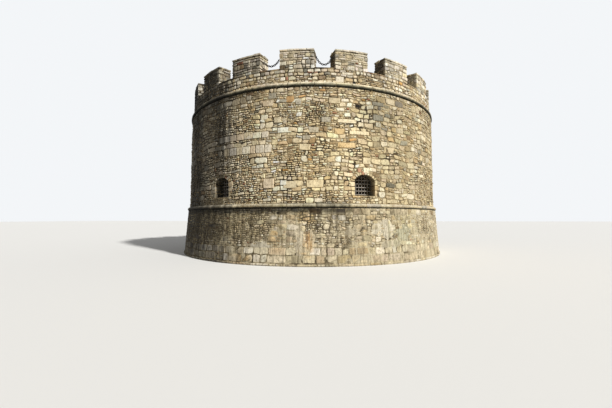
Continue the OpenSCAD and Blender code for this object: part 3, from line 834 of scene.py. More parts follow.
def opening_shape(centre, opening, sill, border):
    """Keeps out of an opening, from a height upwards, and of the dressed stones around it."""
    radius, arch_z, spring = arch_of(opening)
    side = opening["width"] / 2 + border

    def push(across, upward):
        du = across - centre
        dv = upward - arch_z
        away = np.hypot(du, dv)
        jamb = (upward < spring) & (upward > sill) & (np.abs(du) < side)
        arch = (upward >= spring) & (away < radius + border)
        sinks = jamb & (upward - sill < 0.5 * (side - np.abs(du)))
        stretch = (radius + border) / np.maximum(away, 0.01)
        out_u = np.where(jamb & ~sinks, centre + np.sign(du) * side, across)
        out_v = np.where(sinks, sill, upward)
        out_u = np.where(arch, centre + du * stretch, out_u)
        out_v = np.where(arch, arch_z + dv * stretch, out_v)
        return out_u, out_v, jamb | arch
    return push


def stone_sizes(across, upward):
    """Width and height of each stone, through its middle."""
    r, c = across.shape[1] // 2, across.shape[2] // 2
    return across[:, r, -1] - across[:, r, 0], upward[:, -1, c] - upward[:, 0, c]


def keep_out(across, upward, shapes, least_share=0.4, least_width=0.035, least_height=0.03):
    """Pushes points out of the shapes, and says which stones are left and aren't squeezed too thin."""
    kept = np.ones(len(across), bool)
    wide, tall = stone_sizes(across, upward)
    for push in shapes:
        across, upward, inside = push(across, upward)
        kept &= ~inside[:, inside.shape[1] // 2, inside.shape[2] // 2]
    new_wide, new_tall = stone_sizes(across, upward)
    kept &= (new_wide > least_share * wide) & (new_tall > least_share * tall)
    kept &= (new_wide > least_width) & (new_tall > least_height)
    return across, upward, kept


# %% [markdown]
# ## Pinnings
# Wherever a big stone or an opening has pushed the rubble aside, gaps are left, and small stones are driven
# into them. Here the wall is marked on a fine grid of squares, which says where a stone of some size still
# fits, and such gaps are filled from the largest size down to the smallest.

# %% Small stones for the gaps
# Width and height of each size of small stone
pinning_sizes = [(0.24, 0.13), (0.17, 0.11), (0.12, 0.09), (0.10, 0.06), (0.06, 0.09), (0.135, 0.045),
                 (0.075, 0.045)]


def pinnings(across, upward, length, low, high, shapes, step=0.015):
    """Rectangles of small stones that fit in the gaps between the stones."""
    columns, rows = int(length / step), int((high - low) / step)
    u, v = np.meshgrid((np.arange(columns) + 0.5) * step, low + (np.arange(rows) + 0.5) * step)
    taken = np.zeros(u.shape, bool)
    for push in shapes:
        taken |= push(u, v)[2]
    for left, right, bottom, top in zip(*((f((1, 2)) - shift) / step for f, shift in (
            (across.min, 0), (across.max, 0), (upward.min, low), (upward.max, low)))):
        taken[max(0, round(bottom)):round(top), max(0, round(left)):round(right)] = True
    cells = []
    for wide, tall in pinning_sizes:
        w, h = round(wide / step), round(tall / step)
        total = np.pad(taken.cumsum(0).cumsum(1), ((1, 0), (1, 0)))
        free = (total[h:, w:] - total[:-h, w:] - total[h:, :-w] + total[:-h, :-w]) == 0
        for r, c in np.argwhere(free):
            if not taken[r:r + h, c:c + w].any():
                taken[r:r + h, c:c + w] = True
                cells.append((c * step, (c + w) * step, low + r * step, low + (r + h) * step))
    return cells


# %% [markdown]
# ## Openings
# The windows and the doorway are closed above by a flat arch, so each is described by its width, the height
# of its sill and of its arch's crown, and how far the arch rises. The border is how far its dressed stones
# reach out on the wall's face.

# %% Sizes of the openings
sill_low, sill_high = levels("window_sills")
window = {"width": 0.96, "sill": sill_high, "crown": sill_high + 0.915, "rise": 0.25}
door_low, door_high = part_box("door_threshold")
door = {"width": float(door_high.x - door_low.x), "sill": 0.0, "crown": 1.95, "rise": 0.30}
window_border = 0.10
door_border = 0.21
print("window sill at", window["sill"], "door", door)

# %% [markdown]
# ## The drum
# The big squared stones are the ones that catch the eye on the real wall: a band of upright pale blocks on
# the left, and single cream, ochre and grey blocks. A random layout never puts them where they are, so they
# are given in a table, and the rubble is laid around them. Putlog holes, where the scaffold's timbers were
# set, are such stones too: patches lying low, coloured near black as painted shade for the hole's depth.

# %% Big squared stones of the drum
drum_reach = (drum_radius + drum_top_radius) / 2
big_stones = [
    # azimuth, height of its middle, width, height, colour
    (-6.3, 3.34, 0.50, 0.44, "rose"), (0.9, 3.27, 0.58, 0.33, "cream"), (9.0, 3.30, 0.72, 0.34, "cream"),
    (17.0, 5.47, 0.46, 0.28, "honey"), (23.9, 5.46, 0.92, 0.20, "cream"), (19.5, 4.91, 0.80, 0.25, "honey"),
    (31.2, 6.80, 0.62, 0.20, "grey"), (31.2, 6.20, 0.56, 0.30, "grey"), (31.1, 5.90, 0.30, 0.24, "pale"),
    (0.8, 6.82, 0.35, 0.30, "ochre"), (3.6, 6.70, 0.26, 0.26, "grey"), (15.4, 6.76, 0.52, 0.28, "sand"),
    (-8.0, 6.14, 0.33, 0.25, "pale"), (-3.4, 5.98, 0.33, 0.27, "cream"), (10.1, 2.63, 0.36, 0.19, "pale"),
    (36.4, 2.62, 0.66, 0.18, "cream"), (-14.0, 5.45, 0.44, 0.30, "cream"), (26.5, 4.30, 0.40, 0.30, "cream"),
    (27.4, 6.94, 0.18, 0.09, "brick"), (15.5, 6.24, 0.21, 0.08, "brick"), (-60.0, 5.2, 0.50, 0.32, "buff"),
    (70.0, 4.6, 0.55, 0.30, "cream"), (95.0, 3.9, 0.48, 0.34, "pale"), (118.0, 6.1, 0.60, 0.28, "cream"),
    (150.0, 3.4, 0.52, 0.36, "buff"), (172.0, 5.6, 0.70, 0.26, "cream"), (-160.0, 4.2, 0.46, 0.34, "pale"),
    (-120.0, 5.9, 0.56, 0.28, "sand"), (-92.0, 4.4, 0.50, 0.30, "cream"), (54.0, 6.3, 0.42, 0.30, "honey"),
    (-6.7, 6.72, 0.52, 0.28, "rose"), (12.6, 5.95, 0.42, 0.26, "grey"), (8.6, 5.52, 0.44, 0.26, "ash"),
    (19.6, 5.92, 0.86, 0.20, "cream"), (-1.0, 5.54, 0.62, 0.26, "pale"), (6.2, 5.20, 0.34, 0.22, "ash"),
    (26.2, 3.89, 0.30, 0.26, "pale"), (23.8, 3.88, 0.21, 0.21, "terracotta"), (-14.0, 7.08, 0.26, 0.24, "pale"),
    # Putlog holes, coloured near black as painted shade for their depth
    (23.4, 6.60, 0.20, 0.13, "hollow"), (-32.0, 4.70, 0.16, 0.13, "hollow"), (62.0, 5.1, 0.14, 0.14, "hollow"),
    (88.0, 6.2, 0.15, 0.13, "hollow"), (112.0, 3.9, 0.14, 0.14, "hollow"), (163.0, 6.3, 0.15, 0.14, "hollow"),
    (-151.0, 4.9, 0.15, 0.14, "hollow"), (-104.0, 6.4, 0.14, 0.14, "hollow"), (-84.0, 3.8, 0.15, 0.13, "hollow"),
]
# Bands of upright blocks: azimuths, bottom, height, width of a block
block_bands = [(-25.0, -6.0, 4.62, 0.37, 0.34), (-27.5, -8.0, 5.26, 0.30, 0.38), (100.0, 128.0, 4.8, 0.34, 0.40),
               (-170.0, -146.0, 5.3, 0.34, 0.40)]


def band_blocks(pick):
    """The squared blocks of each band, as big stones."""
    blocks = []
    for start, end, bottom, height, width in block_bands:
        place = math.radians(start) * drum_reach
        while place < math.radians(end) * drum_reach:
            wide = width * pick.uniform(0.75, 1.3)
            name = pick.choice(band_mix)
            blocks.append((math.degrees((place + wide / 2) / drum_reach), bottom + height / 2, wide, height, name))
            place += wide
    return blocks


def wrapped(degrees, reach=drum_reach):
    """Distance along a round wall for an azimuth, from 0 once around."""
    return math.radians(degrees % 360) * reach


def room_for(stones, reach=drum_reach):
    """Shapes that keep the rubble off the big stones."""
    return [rectangle_shape(wrapped(a, reach), z, w, h) for a, z, w, h, _ in stones]


# %% [markdown]
# The wall is laid flat, as one long strip, and then rolled around the tower: a distance along the strip
# becomes an azimuth, and the stone's lift is added to the wall's radius at that height. Rolled the other way,
# the stones look inwards.

# %% Strip rolled onto a round wall
def round_wall(across, upward, lift, face, reach, inward=False):
    """Points of a strip that is rolled around the tower, with lift in metres."""
    turn = across / reach * (-1 if inward else 1)
    radius = face(upward) + (-lift if inward else lift)
    points = outward(turn) * radius[..., None]
    points[..., 2] = upward
    return points


squared_depth = 0.030
hollow_depth = 0.002


def fixed_stones(stones, pick, sunk, reach):
    """Points of the big squared stones, given as (azimuth, height, width, height, colour)."""
    middles = [wrapped(a, reach) for a, *_ in stones]
    cells = [(m - w / 2, m + w / 2, z - h / 2, z + h / 2) for m, (_, z, w, h, _) in zip(middles, stones)]
    across, upward, lift, rim = stone_grid(cells, pick, corner=0.10, ragged=0.04, joint=0.020)
    deep = np.array([name == "hollow" for *_, name in stones])[:, None, None]
    stand = (1 + (lift - 1) * 0.5) * np.where(deep, hollow_depth, squared_depth)
    stand = np.where(rim & ~deep, -sunk, stand)
    colours = np.array([stone_colours[name] for *_, name in stones]) * pick.uniform(0.84, 1.08, (len(stones), 1))
    return across, upward, stand, colours


# %% [markdown]
# Laying a wall takes these steps. The layout gives rectangles and the grid gives each its points; the beds
# and joints waver by a few centimetres, less near the top and the bottom; the openings and the big stones
# push the points aside, and pinnings fill the gaps. Then each stone stands proud by its own amount, tilts a
# little, and gets its colour. Every so often a small stone is a piece of brick.

# %% Stones of a round wall
tilt_spread = 0.0045
brick_longest = 0.17
brick_every = 89


def lay_round_wall(name, beds, face, reach, pick, shapes, mix, proud=(0.012, 0.038), sunk=0.020,
                   waves=(0.030, 0.012), single=0.58, parts=1, fixed=(), inward=False, corner=0.26,
                   joint=0.018, spread=0.09, longest=2.1, ragged=0.10, material=None, fine_places=()):
    """Lays rubble all around the tower, in a number of pieces."""
    length = 2 * math.pi * reach
    cells = lay_rubble(length, beds, pick, single, longest, fine_places)
    across, upward, lift, rim = stone_grid(cells, pick, corner=corner, joint=joint, ragged=ragged)
    turn = across / reach
    room = np.clip(np.minimum(upward - beds[0], beds[-1] - upward) / 0.2, 0, 1)
    sway = waves[0] * waver(turn, upward, 21, 26, 2.5) + waves[1] * waver(turn, upward, 22, 110, 12.0)
    slip = waves[0] * waver(turn, upward, 23, 60, 9.0) + waves[1] * waver(turn, upward, 24, 130, 22.0)
    upward = upward + sway * room
    across = across + slip
    across, upward, kept = keep_out(across, upward, shapes)
    across, upward, lift, rim = across[kept], upward[kept], lift[kept], rim[kept]
    small = pinnings(across, upward, length, beds[0], beds[-1], shapes)
    if small:
        more = stone_grid(small, pick, corner=corner, joint=joint * 0.7)
        across, upward, lift, rim = map(np.concatenate, zip((across, upward, lift, rim), more))
    count = len(across)
    height = pick.uniform(*proud, count)[:, None, None]
    tilt = pick.normal(0, tilt_spread, (count, 2))
    u = np.linspace(-1, 1, across.shape[2])[None, None, :]
    v = np.linspace(-1, 1, across.shape[1])[None, :, None]
    stand = lift * height + tilt[:, :1, None] * u + tilt[:, 1:, None] * v
    stand = np.where(rim, -sunk, stand)
    colours = draw_colours(count, mix, pick, spread)
    bricks = (np.ptp(across, (1, 2)) < brick_longest) & (np.arange(count) % brick_every == 5)
    colours[bricks] = stone_colours["brick"]
    if fixed:
        more = fixed_stones(fixed, pick, sunk, reach)
        across, upward, stand, colours = map(np.concatenate, zip((across, upward, stand, colours), more))
    points = round_wall(across, upward, stand, face, reach, inward)
    shade = weathered_stones(colours, points)
    build_parts(name, parts, across[:, 2, 2] / length, points, shade, material=material)
    print(name, "has", len(points), "stones,", len(small), "of them pinnings")


# %% [markdown]
# With these steps the drum is one call. It is parted into six pieces, because one with all the stones would be
# too heavy.

# %% Lay the drum
pick = np.random.default_rng(7)
squared = big_stones + band_blocks(pick)
# Azimuths and heights between which the wall is small stones
fine_places = [(-3, 28, 6.85, 7.3), (-44, -10, 3.6, 4.6), (-40, 20, 2.45, 3.1), (-36, -12, 5.7, 6.5),
               (-4, 17, 5.6, 6.6), (-6, 14, 3.6, 4.9), (-22, -10, 2.9, 3.7), (52, 70, 2.5, 4.4),
               (84, 120, 5.6, 6.9), (128, 160, 3.0, 4.8), (-170, -130, 2.6, 4.0), (-110, -80, 4.6, 6.0)]
window_shapes = [opening_shape(wrapped(a), window, sill_low, window_border) for a in window_azimuths]
drum_beds = bed_heights(course_top + 0.005, upper_z - 0.005, 0.15, 0.31, pick)
lay_round_wall("drum_rubble", drum_beds, drum_face, drum_reach, pick, window_shapes + room_for(squared),
               rubble_mix, proud=(0.010, 0.044), parts=6, fixed=squared, corner=0.22, joint=0.020, spread=0.12,
               ragged=0.13, fine_places=fine_places)

# %% [markdown]
# ## The battered foot
# The foot is older and rougher: its stones lie nearly flush in their pointing, and two courses of big worn
# blocks run along the ground. The same layout is used, with lower relief, on the foot's leaning face.

# %% Lay the battered foot
pick = np.random.default_rng(17)
foot_reach = (foot_radius + scarp_radius) / 2
blocks_top = 0.74
door_shape = [opening_shape(wrapped(door_azimuth, foot_reach), door, -1.0, door_border)]
block_beds = np.array([step_z, 0.44, blocks_top])
lay_round_wall("foot_blocks", block_beds, scarp_face, foot_reach, pick, door_shape, block_mix,
               proud=(0.008, 0.020), sunk=0.012, single=0.95, waves=(0.016, 0.006), parts=2, corner=0.16,
               joint=0.016, spread=0.05, longest=2.2, material=foot_limestone)
foot_beds = bed_heights(blocks_top, course_z - 0.004, 0.16, 0.34, pick)
mended = [(-46, -5, 0.8, 2.2), (7, 22, 0.75, 1.9), (46, 75, 0.9, 2.0), (120, 150, 0.8, 1.6),
          (-140, -100, 1.2, 2.2)]
lay_round_wall("foot_rubble", foot_beds, scarp_face, foot_reach, pick, door_shape,
               foot_mix, proud=(0.004, 0.018), sunk=0.010, single=0.5, parts=4, joint=0.014, spread=0.14,
               material=foot_limestone, fine_places=mended)

# %% [markdown]
# ## Smooth render
# The foot was once mended with patches of smooth lime render, which have worn back so that stones come
# through at their edges. Each patch is a skin of rings of points with a ragged outline: thick in the middle,
# where it hides the stones, and thinner outwards, so that it sinks behind their faces one by one.

# %% Patches of smooth render
# Azimuth, middle height, width, height and colour of each patch
render_patches = [(32.0, 1.45, 1.40, 1.05, (222, 214, 193)), (40.5, 1.30, 1.10, 0.85, (206, 200, 177)),
                  (35.0, 0.84, 1.9, 0.42, (212, 202, 176)), (4.0, 1.05, 0.52, 1.8, (212, 200, 173)),
                  (7.4, 1.0, 0.46, 1.1, (206, 190, 158)), (-8.5, 0.82, 1.3, 0.34, (204, 196, 176)),
                  (20.5, 1.35, 0.75, 0.5, (204, 193, 166)), (-76.0, 1.5, 1.1, 0.7, (196, 188, 166)),
                  (128.0, 1.3, 1.2, 0.9, (204, 196, 174)), (-118.0, 1.0, 1.5, 0.6, (198, 190, 168))]


any_phase = 6.3
render_proud = 0.0135
render_drop = 0.026


def cap_of_render(azimuth, middle, width, height, pick, rings=13, around=96):
    """Points (rings, around) of one patch, and its faces as indices."""
    share = np.linspace(0.03, 1.0, rings)[:, None]
    turn = np.linspace(0, 2 * math.pi, around, endpoint=False)[None, :]
    edge = 1 + sum(size * np.sin(k * turn + pick.uniform(0, any_phase))
                   for k, size in ((2, 0.10), (3, 0.10), (5, 0.08), (8, 0.07), (13, 0.05), (21, 0.04)))
    u = wrapped(azimuth, foot_reach) + width / 2 * share * edge * np.cos(turn)
    v = middle + height / 2 * share * edge * np.sin(turn)
    uneven = sum(size * np.sin(a * u + pick.uniform(0, any_phase)) * np.sin(b * v + pick.uniform(0, any_phase))
                 for a, b, size in ((9, 11, 0.0025), (23, 19, 0.002), (47, 53, 0.0015)))
    stand = render_proud - render_drop * share ** 4 + 1.5 * uneven
    points = round_wall(u, v, stand, scarp_face, foot_reach)
    index = np.arange(rings * around).reshape(rings, around)
    after = np.roll(index, -1, 1)
    faces = [list(q) for q in np.stack([index[:-1], index[1:], after[1:], after[:-1]], -1).reshape(-1, 4)]
    return points.reshape(-1, 3), faces + [list(index[0])]


pick = np.random.default_rng(18)
patch_points, patch_faces, patch_colours = [], [], []
for *patch, colour in render_patches:
    more, faces = cap_of_render(*patch, pick)
    start = sum(len(p) for p in patch_points)
    patch_points.append(more)
    patch_colours.append(np.broadcast_to(paint(*colour), more.shape))
    patch_faces += [[int(i) + start for i in f] for f in faces]
patch_points = np.concatenate(patch_points)
shade = weathered(np.concatenate(patch_colours), patch_points)
build_mesh("foot_render", patch_points, patch_faces, shade, 60, foot_limestone)

# %% [markdown]
# ## The course along the ground
# A low course of long flat slabs stands a little forward of the foot. It is laid like the rubble, but its
# stones are five times as long as they are high.

# %% Long slabs along the ground
pick = np.random.default_rng(19)
step_shape = [rectangle_shape(wrapped(door_azimuth, foot_reach), 0.05, door["width"] + 0.1, 0.4)]
lay_round_wall("foot_course", np.array([0.0, step_z]), plumb(foot_step_radius), foot_reach, pick,
               step_shape, block_mix, proud=(0.004, 0.020), single=1.0, waves=(0.0, 0.003), corner=0.25,
               spread=0.06, longest=8.0, joint=0.012, material=foot_limestone)

# %% [markdown]
# ## The parapet
# The parapet is rubble on both faces. The same strip serves twice: once on the outer face, and once turned
# inwards on the face that the terrace sees. Here and there the outer face was levelled up with layers of
# thin flat stones, added as rows of small squared ones.

# %% Lay the parapet
pick = np.random.default_rng(27)
# Azimuth, height of its middle, width, height, colour
crown_stones = [
    (17.4, 7.70, 0.40, 0.30, "pale"), (20.2, 7.98, 0.52, 0.14, "pale"), (-18.9, 7.90, 0.24, 0.20, "pale"),
    (7.3, 7.98, 0.24, 0.06, "brick"), (9.3, 7.97, 0.20, 0.07, "terracotta"), (22.6, 7.62, 0.14, 0.12, "hollow"),
    (39.6, 7.60, 0.12, 0.12, "hollow"), (-62.0, 7.66, 0.13, 0.12, "hollow"), (131.0, 7.6, 0.13, 0.12, "hollow"),
]
thin_colours = ["tan", "honey", "cream", "brown", "buff", "sand"]
thin_places = [(24.3, 33.8), (-152.0, -143.0), (98.0, 106.0)]
thin_low, thin_step, thin_height, thin_rows = 7.57, 0.07, 0.066, 6
for start, end in thin_places:
    for row in range(thin_rows):
        marks = random_marks(start, end, 0.6, 1.4, 3, pick)
        for a, b in zip(marks[:-1], marks[1:]):
            crown_stones.append(((a + b) / 2, thin_low + thin_step * row, math.radians(b - a) * parapet_radius,
                                 thin_height, pick.choice(thin_colours)))
parapet_beds = bed_heights(parapet_z + 0.004, merlon_z, 0.14, 0.25, pick)
lay_round_wall("parapet_rubble", parapet_beds, plumb(parapet_radius), parapet_radius, pick,
               room_for(crown_stones, parapet_radius), parapet_mix, waves=(0.016, 0.010), parts=2, spread=0.10,
               proud=(0.010, 0.040), fixed=crown_stones)
inner_beds = bed_heights(paving_z - 0.01, merlon_z, 0.15, 0.26, pick)
lay_round_wall("parapet_inner_rubble", inner_beds, plumb(parapet_inside), parapet_inside, pick, [],
               rubble_mix, waves=(0.014, 0.008), inward=True)

# %% [markdown]
# ## The merlons
# A merlon is built of blocks whose corner stones show on two faces. Its four faces are treated as one
# strip that is wrapped around its plan: the outer arc, one cheek, the inner arc and the other cheek.

# %% Plan of a merlon
merlon_half = 0.71
merlon_back_half = 0.76
front_corner = np.array([merlon_half, math.sqrt(parapet_radius ** 2 - merlon_half ** 2)])
back_corner = np.array([merlon_back_half, math.sqrt(parapet_inside ** 2 - merlon_back_half ** 2)])
cheek_length = float(np.linalg.norm(front_corner - back_corner))
corner_places = np.cumsum([0, 2 * merlon_half, cheek_length, 2 * merlon_back_half, cheek_length])
around_merlon = float(corner_places[-1])


def merlon_plan(distance):
    """Point (across, outwards) and normal for a distance around a merlon's plan."""
    distance = distance % around_merlon
    leg = np.clip(np.searchsorted(corner_places, distance, side="right") - 1, 0, 3)
    share = (distance - corner_places[leg]) / np.diff(corner_places)[leg]
    x_front = merlon_half * (2 * share - 1)
    x_back = merlon_back_half * (1 - 2 * share)
    cheek = front_corner + (back_corner - front_corner) * share[..., None]
    front = np.stack([x_front, np.sqrt(parapet_radius ** 2 - x_front ** 2)], -1)
    back = np.stack([x_back, np.sqrt(parapet_inside ** 2 - x_back ** 2)], -1)
    left = (back_corner + (front_corner - back_corner) * share[..., None]) * np.array([-1, 1])
    legs = leg[..., None]
    sides = [legs == 0, legs == 1, legs == 2]
    point = np.select(sides, [front, cheek, back], left)
    run = (back_corner - front_corner) / cheek_length
    normal_right = np.array([-run[1], run[0]])
    normal = np.select(sides, [front / parapet_radius, normal_right, -back / parapet_inside],
                       normal_right * np.array([-1, 1]))
    return point, normal


def corner_normal(distance):
    """Normal that is shared by both faces right on a corner, and a little longer there."""
    _, before = merlon_plan(distance - 0.002)
    _, after = merlon_plan(distance + 0.002)
    both = before + after
    return both / np.maximum((both ** 2).sum(-1, keepdims=True) / 2, 0.5)


# %% [markdown]
# The blocks go around the plan course by course. A joint that would fall close to a corner is moved past it,
# a short way in one course and a long way in the next, so that the corner stones are bonded as on a real
# wall. The last course, under the coping, is of long flat blocks.

# %% Layout of a merlon's blocks
short_arm, long_arm, first_arm = 0.12, 0.22, 0.26
corner_reach = 0.10
least_block = 0.14
block_lengths, flat_lengths = (0.14, 0.38), (0.28, 0.60)


def merlon_cells(beds, pick):
    """Blocks around the plan, course by course, with no joint close to a corner."""
    cells = []
    for course, (low, high) in enumerate(zip(beds[:-1], beds[1:])):
        start = -(short_arm if course % 2 else first_arm) * pick.uniform(0.8, 1.2)
        place = start
        while place < start + around_merlon - 1e-6:
            end = place + pick.uniform(*(block_lengths if high < beds[-1] else flat_lengths))
            for corner in corner_places:
                if abs(end - corner) < corner_reach:
                    end = corner + (short_arm if (course + (corner > 1)) % 2 else long_arm)
            if start + around_merlon - end < least_block:
                end = start + around_merlon
            if high - low > 0.15 and pick.random() < 0.45 and not np.any(
                    (corner_places > place - 0.03) & (corner_places < end + 0.03)):
                split(cells, place, end, low, high, pick, 2)
            else:
                cells.append((place, end, low, high))
            place = end
    return cells


# %% [markdown]
# The faces turned away from the dry, lit side are darkened, partly by a black crust of lichen and partly as
# painted shade, so a stone's shade also depends on the direction that its face looks in. On the merlons of the
# shady side, the cheeks turned to the sun are made lighter as painted sunlight, and stand out pale against
# the crust and the painted shade.

# %% Blocks of a merlon
dry_and_lit_side = math.radians(90)
painted_light_side = math.radians(60)
merlons_in_painted_shade = (210, 332)
crust_and_shade_dark, painted_light_gain = 0.78, 1.3
flat_low, flat_high = top_z - 0.185, top_z - 0.100


def lay_merlon(number, azimuth, pick):
    """The blocks of one merlon, as one piece."""
    beds = np.append(bed_heights(merlon_z, flat_low, 0.10, 0.25, pick), flat_high)
    cells = merlon_cells(beds, pick)
    corners = [c + turn for c in corner_places[:-1] for turn in (0, around_merlon)]
    across, upward, lift, rim = stone_grid(cells, pick, corners=corners, joint=0.014, corner=0.28, ragged=0.12)
    sway = 0.018 * waver(across / around_merlon * 2 * math.pi, upward, 31 + number, 3, 8.0)
    upward = upward + sway * np.clip(np.minimum(upward - beds[0], beds[-1] - upward) / 0.1, 0, 1)
    stand = np.where(rim, -0.012, lift * pick.uniform(0.008, 0.032, len(across))[:, None, None])
    plan, normal = merlon_plan(across)
    faces = math.radians(azimuth) + np.arctan2(normal[..., 0], normal[..., 1])
    # Crust of lichen and painted shade on the faces turned away from the lit side
    crust_and_painted_shade = np.clip(-1.5 * np.cos(faces - dry_and_lit_side), 0, 1)[..., None]
    near = np.abs(across[..., None] % around_merlon - corner_places).min(-1) < 0.004
    normal = np.where(near[..., None], corner_normal(across), normal)
    plan = plan + normal * stand[..., None]
    turn = np.full(across.shape, math.radians(azimuth))
    points = along(turn) * plan[..., :1] + outward(turn) * plan[..., 1:]
    points[..., 2] = upward
    colours = draw_colours(len(cells), crown_mix, pick, 0.17)
    flat = np.array([high > flat_high - 0.01 for *_, high in cells])
    colours[flat] = draw_colours(int(flat.sum()), ashlar_mix, pick, 0.08)
    shade = weathered_stones(colours, points)
    # Painted sunlight on the cheeks that face the sun, on the merlons of the shady side
    painted_sunlight = np.clip(1.3 * np.cos(faces - painted_light_side), 0, 1)[..., None]
    painted_sunlight = painted_sunlight * (merlons_in_painted_shade[0] < azimuth < merlons_in_painted_shade[1])
    shade = shade * (0.95 - crust_and_shade_dark * crust_and_painted_shade) * (1 + painted_light_gain * painted_sunlight)
    return build_stones(f"merlon_blocks_{number:02d}", points, shade, material=crown_limestone)


pick = np.random.default_rng(37)
for number, azimuth in enumerate(merlon_azimuths, 1):
    lay_merlon(number, azimuth, pick)

# %% [markdown]
# ## Slabs and tiles
# The merlons are capped with flat slabs, and the crenels are closed with thin tiles. Both are blocks with
# worn edges. One small block with cut corners is worked out once, and copies of it are stretched and
# turned into place, each with slightly different corners.

# %% Block with worn edges
def worn_block():
    """Signs and face of each point of a block with cut edges, and its faces, pointing outwards."""
    corners = [(x, y, z) for x in (-1, 1) for y in (-1, 1) for z in (-1, 1)]
    signs = np.array(corners, float).repeat(3, 0)
    faces_of = np.tile(np.arange(3), 8)

    def point(side, **at):
        """A corner's point on one of its three sides, the corner given by its signs."""
        return 3 * corners.index((at["x"], at["y"], at["z"])) + "xyz".index(side)

    flats, edges = [], []
    for a, b, c in ("xyz", "yxz", "zxy"):
        for sign in (-1, 1):
            flats.append([point(a, **{a: sign, b: v, c: w}) for v, w in ((-1, -1), (1, -1), (1, 1), (-1, 1))])
        for v, w in ((-1, -1), (-1, 1), (1, -1), (1, 1)):
            edges.append([point(side, **{a: end, b: v, c: w}) for end, side in ((-1, b), (1, b), (1, c), (-1, c))])
    faces = flats + edges + [[3 * k, 3 * k + 1, 3 * k + 2] for k in range(8)]
    points = np.where(np.arange(3)[None, :] == faces_of[:, None], signs, signs * 0.8)
    for k, loop in enumerate(faces):
        a, b, c = (points[i] for i in loop[:3])
        if np.dot(np.cross(b - a, c - a), points[loop].mean(0)) < 0:
            faces[k] = loop[::-1]
    return signs, faces_of, faces


block_signs, block_faces_of, block_faces = worn_block()


def build_blocks(name, blocks, pick, mix, worn=0.008, uneven=0.006, angle=30):
    """Blocks given as (azimuth, radius, height, half along, half outwards, half up)."""
    blocks = np.array(blocks, float)
    count = len(blocks)
    halves = blocks[:, None, 3:6] * np.ones((1, len(block_signs), 1))
    on_face = np.arange(3)[None, :] == block_faces_of[:, None]
    local = block_signs * (halves - np.where(on_face, 0, worn))
    corner_shift = pick.normal(0, uneven, (count, 8, 3)).repeat(3, 1)
    local = local + corner_shift * np.minimum(1, halves / 0.06)
    turn = np.radians(blocks[:, 0])[:, None] * np.ones((1, len(block_signs)))
    points = along(turn) * local[..., :1] + outward(turn) * (local[..., 1:2] + blocks[:, None, 1:2])
    points[..., 2] = local[..., 2] + blocks[:, None, 2]
    colours = draw_colours(count, mix, pick)
    shade = weathered_stones(colours, points)
    faces = [[i + k * len(block_signs) for i in loop] for k in range(count) for loop in block_faces]
    return build_mesh(name, points.reshape(-1, 3), faces, shade.reshape(-1, 3), angle)


# %% [markdown]
# Each merlon carries two rows of three to five slabs, which overhang its sides by a finger's breadth.

# %% Coping slabs on the merlons
pick = np.random.default_rng(47)
coping_blocks = []
coping_middle = (parapet_radius + parapet_inside) / 2
overhang, coping_joint, coping_bed = 0.022, 0.004, top_z - 0.062
for azimuth in merlon_azimuths:
    for row in (-1, 1):
        marks = random_marks(-1, 1, 0.7, 1.4, pick.integers(3, 6), pick)
        half_span = (merlon_half if row > 0 else merlon_back_half) + overhang
        for a, b in zip(marks[:-1], marks[1:]):
            offset = (a + b) / 2 * half_span
            depth = (parapet_radius - parapet_inside) / 4 + 0.014
            radius = coping_middle + row * depth * 0.98
            sagitta = math.sqrt(radius ** 2 - offset ** 2)
            turn = math.degrees(math.atan2(offset, sagitta))
            tall = pick.uniform(0.028, 0.040)
            coping_blocks.append((azimuth + turn, radius, coping_bed + tall,
                                  (b - a) / 2 * half_span - coping_joint, depth, tall))
build_blocks("merlon_coping", coping_blocks, pick, ashlar_mix)

# %% [markdown]
# The crenel sills are closed with two layers of thin clay tiles in three rows. The upper layer has lost a
# tile here and there, and shows the one below.

# %% Tiles on the crenel sills
pick = np.random.default_rng(57)
tile_blocks = []
tile_joint, tile_half, lost_share = 0.004, 0.0135, 0.12
for azimuth in merlon_azimuths:
    centre = azimuth + 180 / merlon_count
    for layer, top in enumerate((crenel_z - 0.024, crenel_z + 0.004)):
        for row in range(3):
            radius = parapet_inside + 0.09 + row * 0.185 + pick.uniform(-0.01, 0.01)
            half = math.radians(180 / merlon_count) * radius - (merlon_back_half + (merlon_half - merlon_back_half)
                                                              * (radius - parapet_inside) / 0.55)
            count = pick.integers(3, 5)
            for n in range(count):
                if layer and pick.random() < lost_share:
                    continue
                offset = -half + (n + 0.5) * 2 * half / count
                tile_blocks.append((centre + math.degrees(offset / radius), radius + 0.004, top - 0.013,
                                    half / count - tile_joint, 0.096, tile_half))
build_blocks("crenel_tiles", tile_blocks, pick, tile_mix, worn=0.004, uneven=0.0025)

# %% [markdown]
# ## String courses
# Each string course is a row of long stones cut to a half-round nose. Here the rows of the stone's grid
# follow the nose: out along its bed, around the half circle and back under it. A profile swept along a curve
# would give the same shape, but as one smooth tube without joints between the stones.

# %% Nose of a string course
def nose_profile(share, wall_above, wall_below, nose, low, high):
    """Radius, height and normal on the profile, for a share from 0 under the nose to 1 on top."""
    radius = (high - low) / 2
    centre = nose - radius
    below = max(centre - wall_below, 0.004)
    above = max(centre - wall_above, 0.004)
    total = below + math.pi * radius + above
    distance = share * total
    angle = np.clip((distance - below) / radius, 0, math.pi) - math.pi / 2
    under = np.clip(below - distance, 0, None)
    over = np.clip(distance - below - math.pi * radius, 0, None)
    r = centre + radius * np.cos(angle) - under - over
    z = (low + high) / 2 + radius * np.sin(angle)
    return r, z, np.cos(angle), np.sin(angle)


# %% [markdown]
# The top of the nose is washed grey by rain and made lighter as painted light. Under it black lichen and
# painted shade darken it, blackest right underneath as painted shadow. How high the darkening reaches is
# given by a line on the nose, from -1 right underneath to 1 right on top, and a ragged field makes the line
# waver.

# %% Long stones with a nose
nose_rows, nose_columns = 11, 7
nose_joint = 0.006


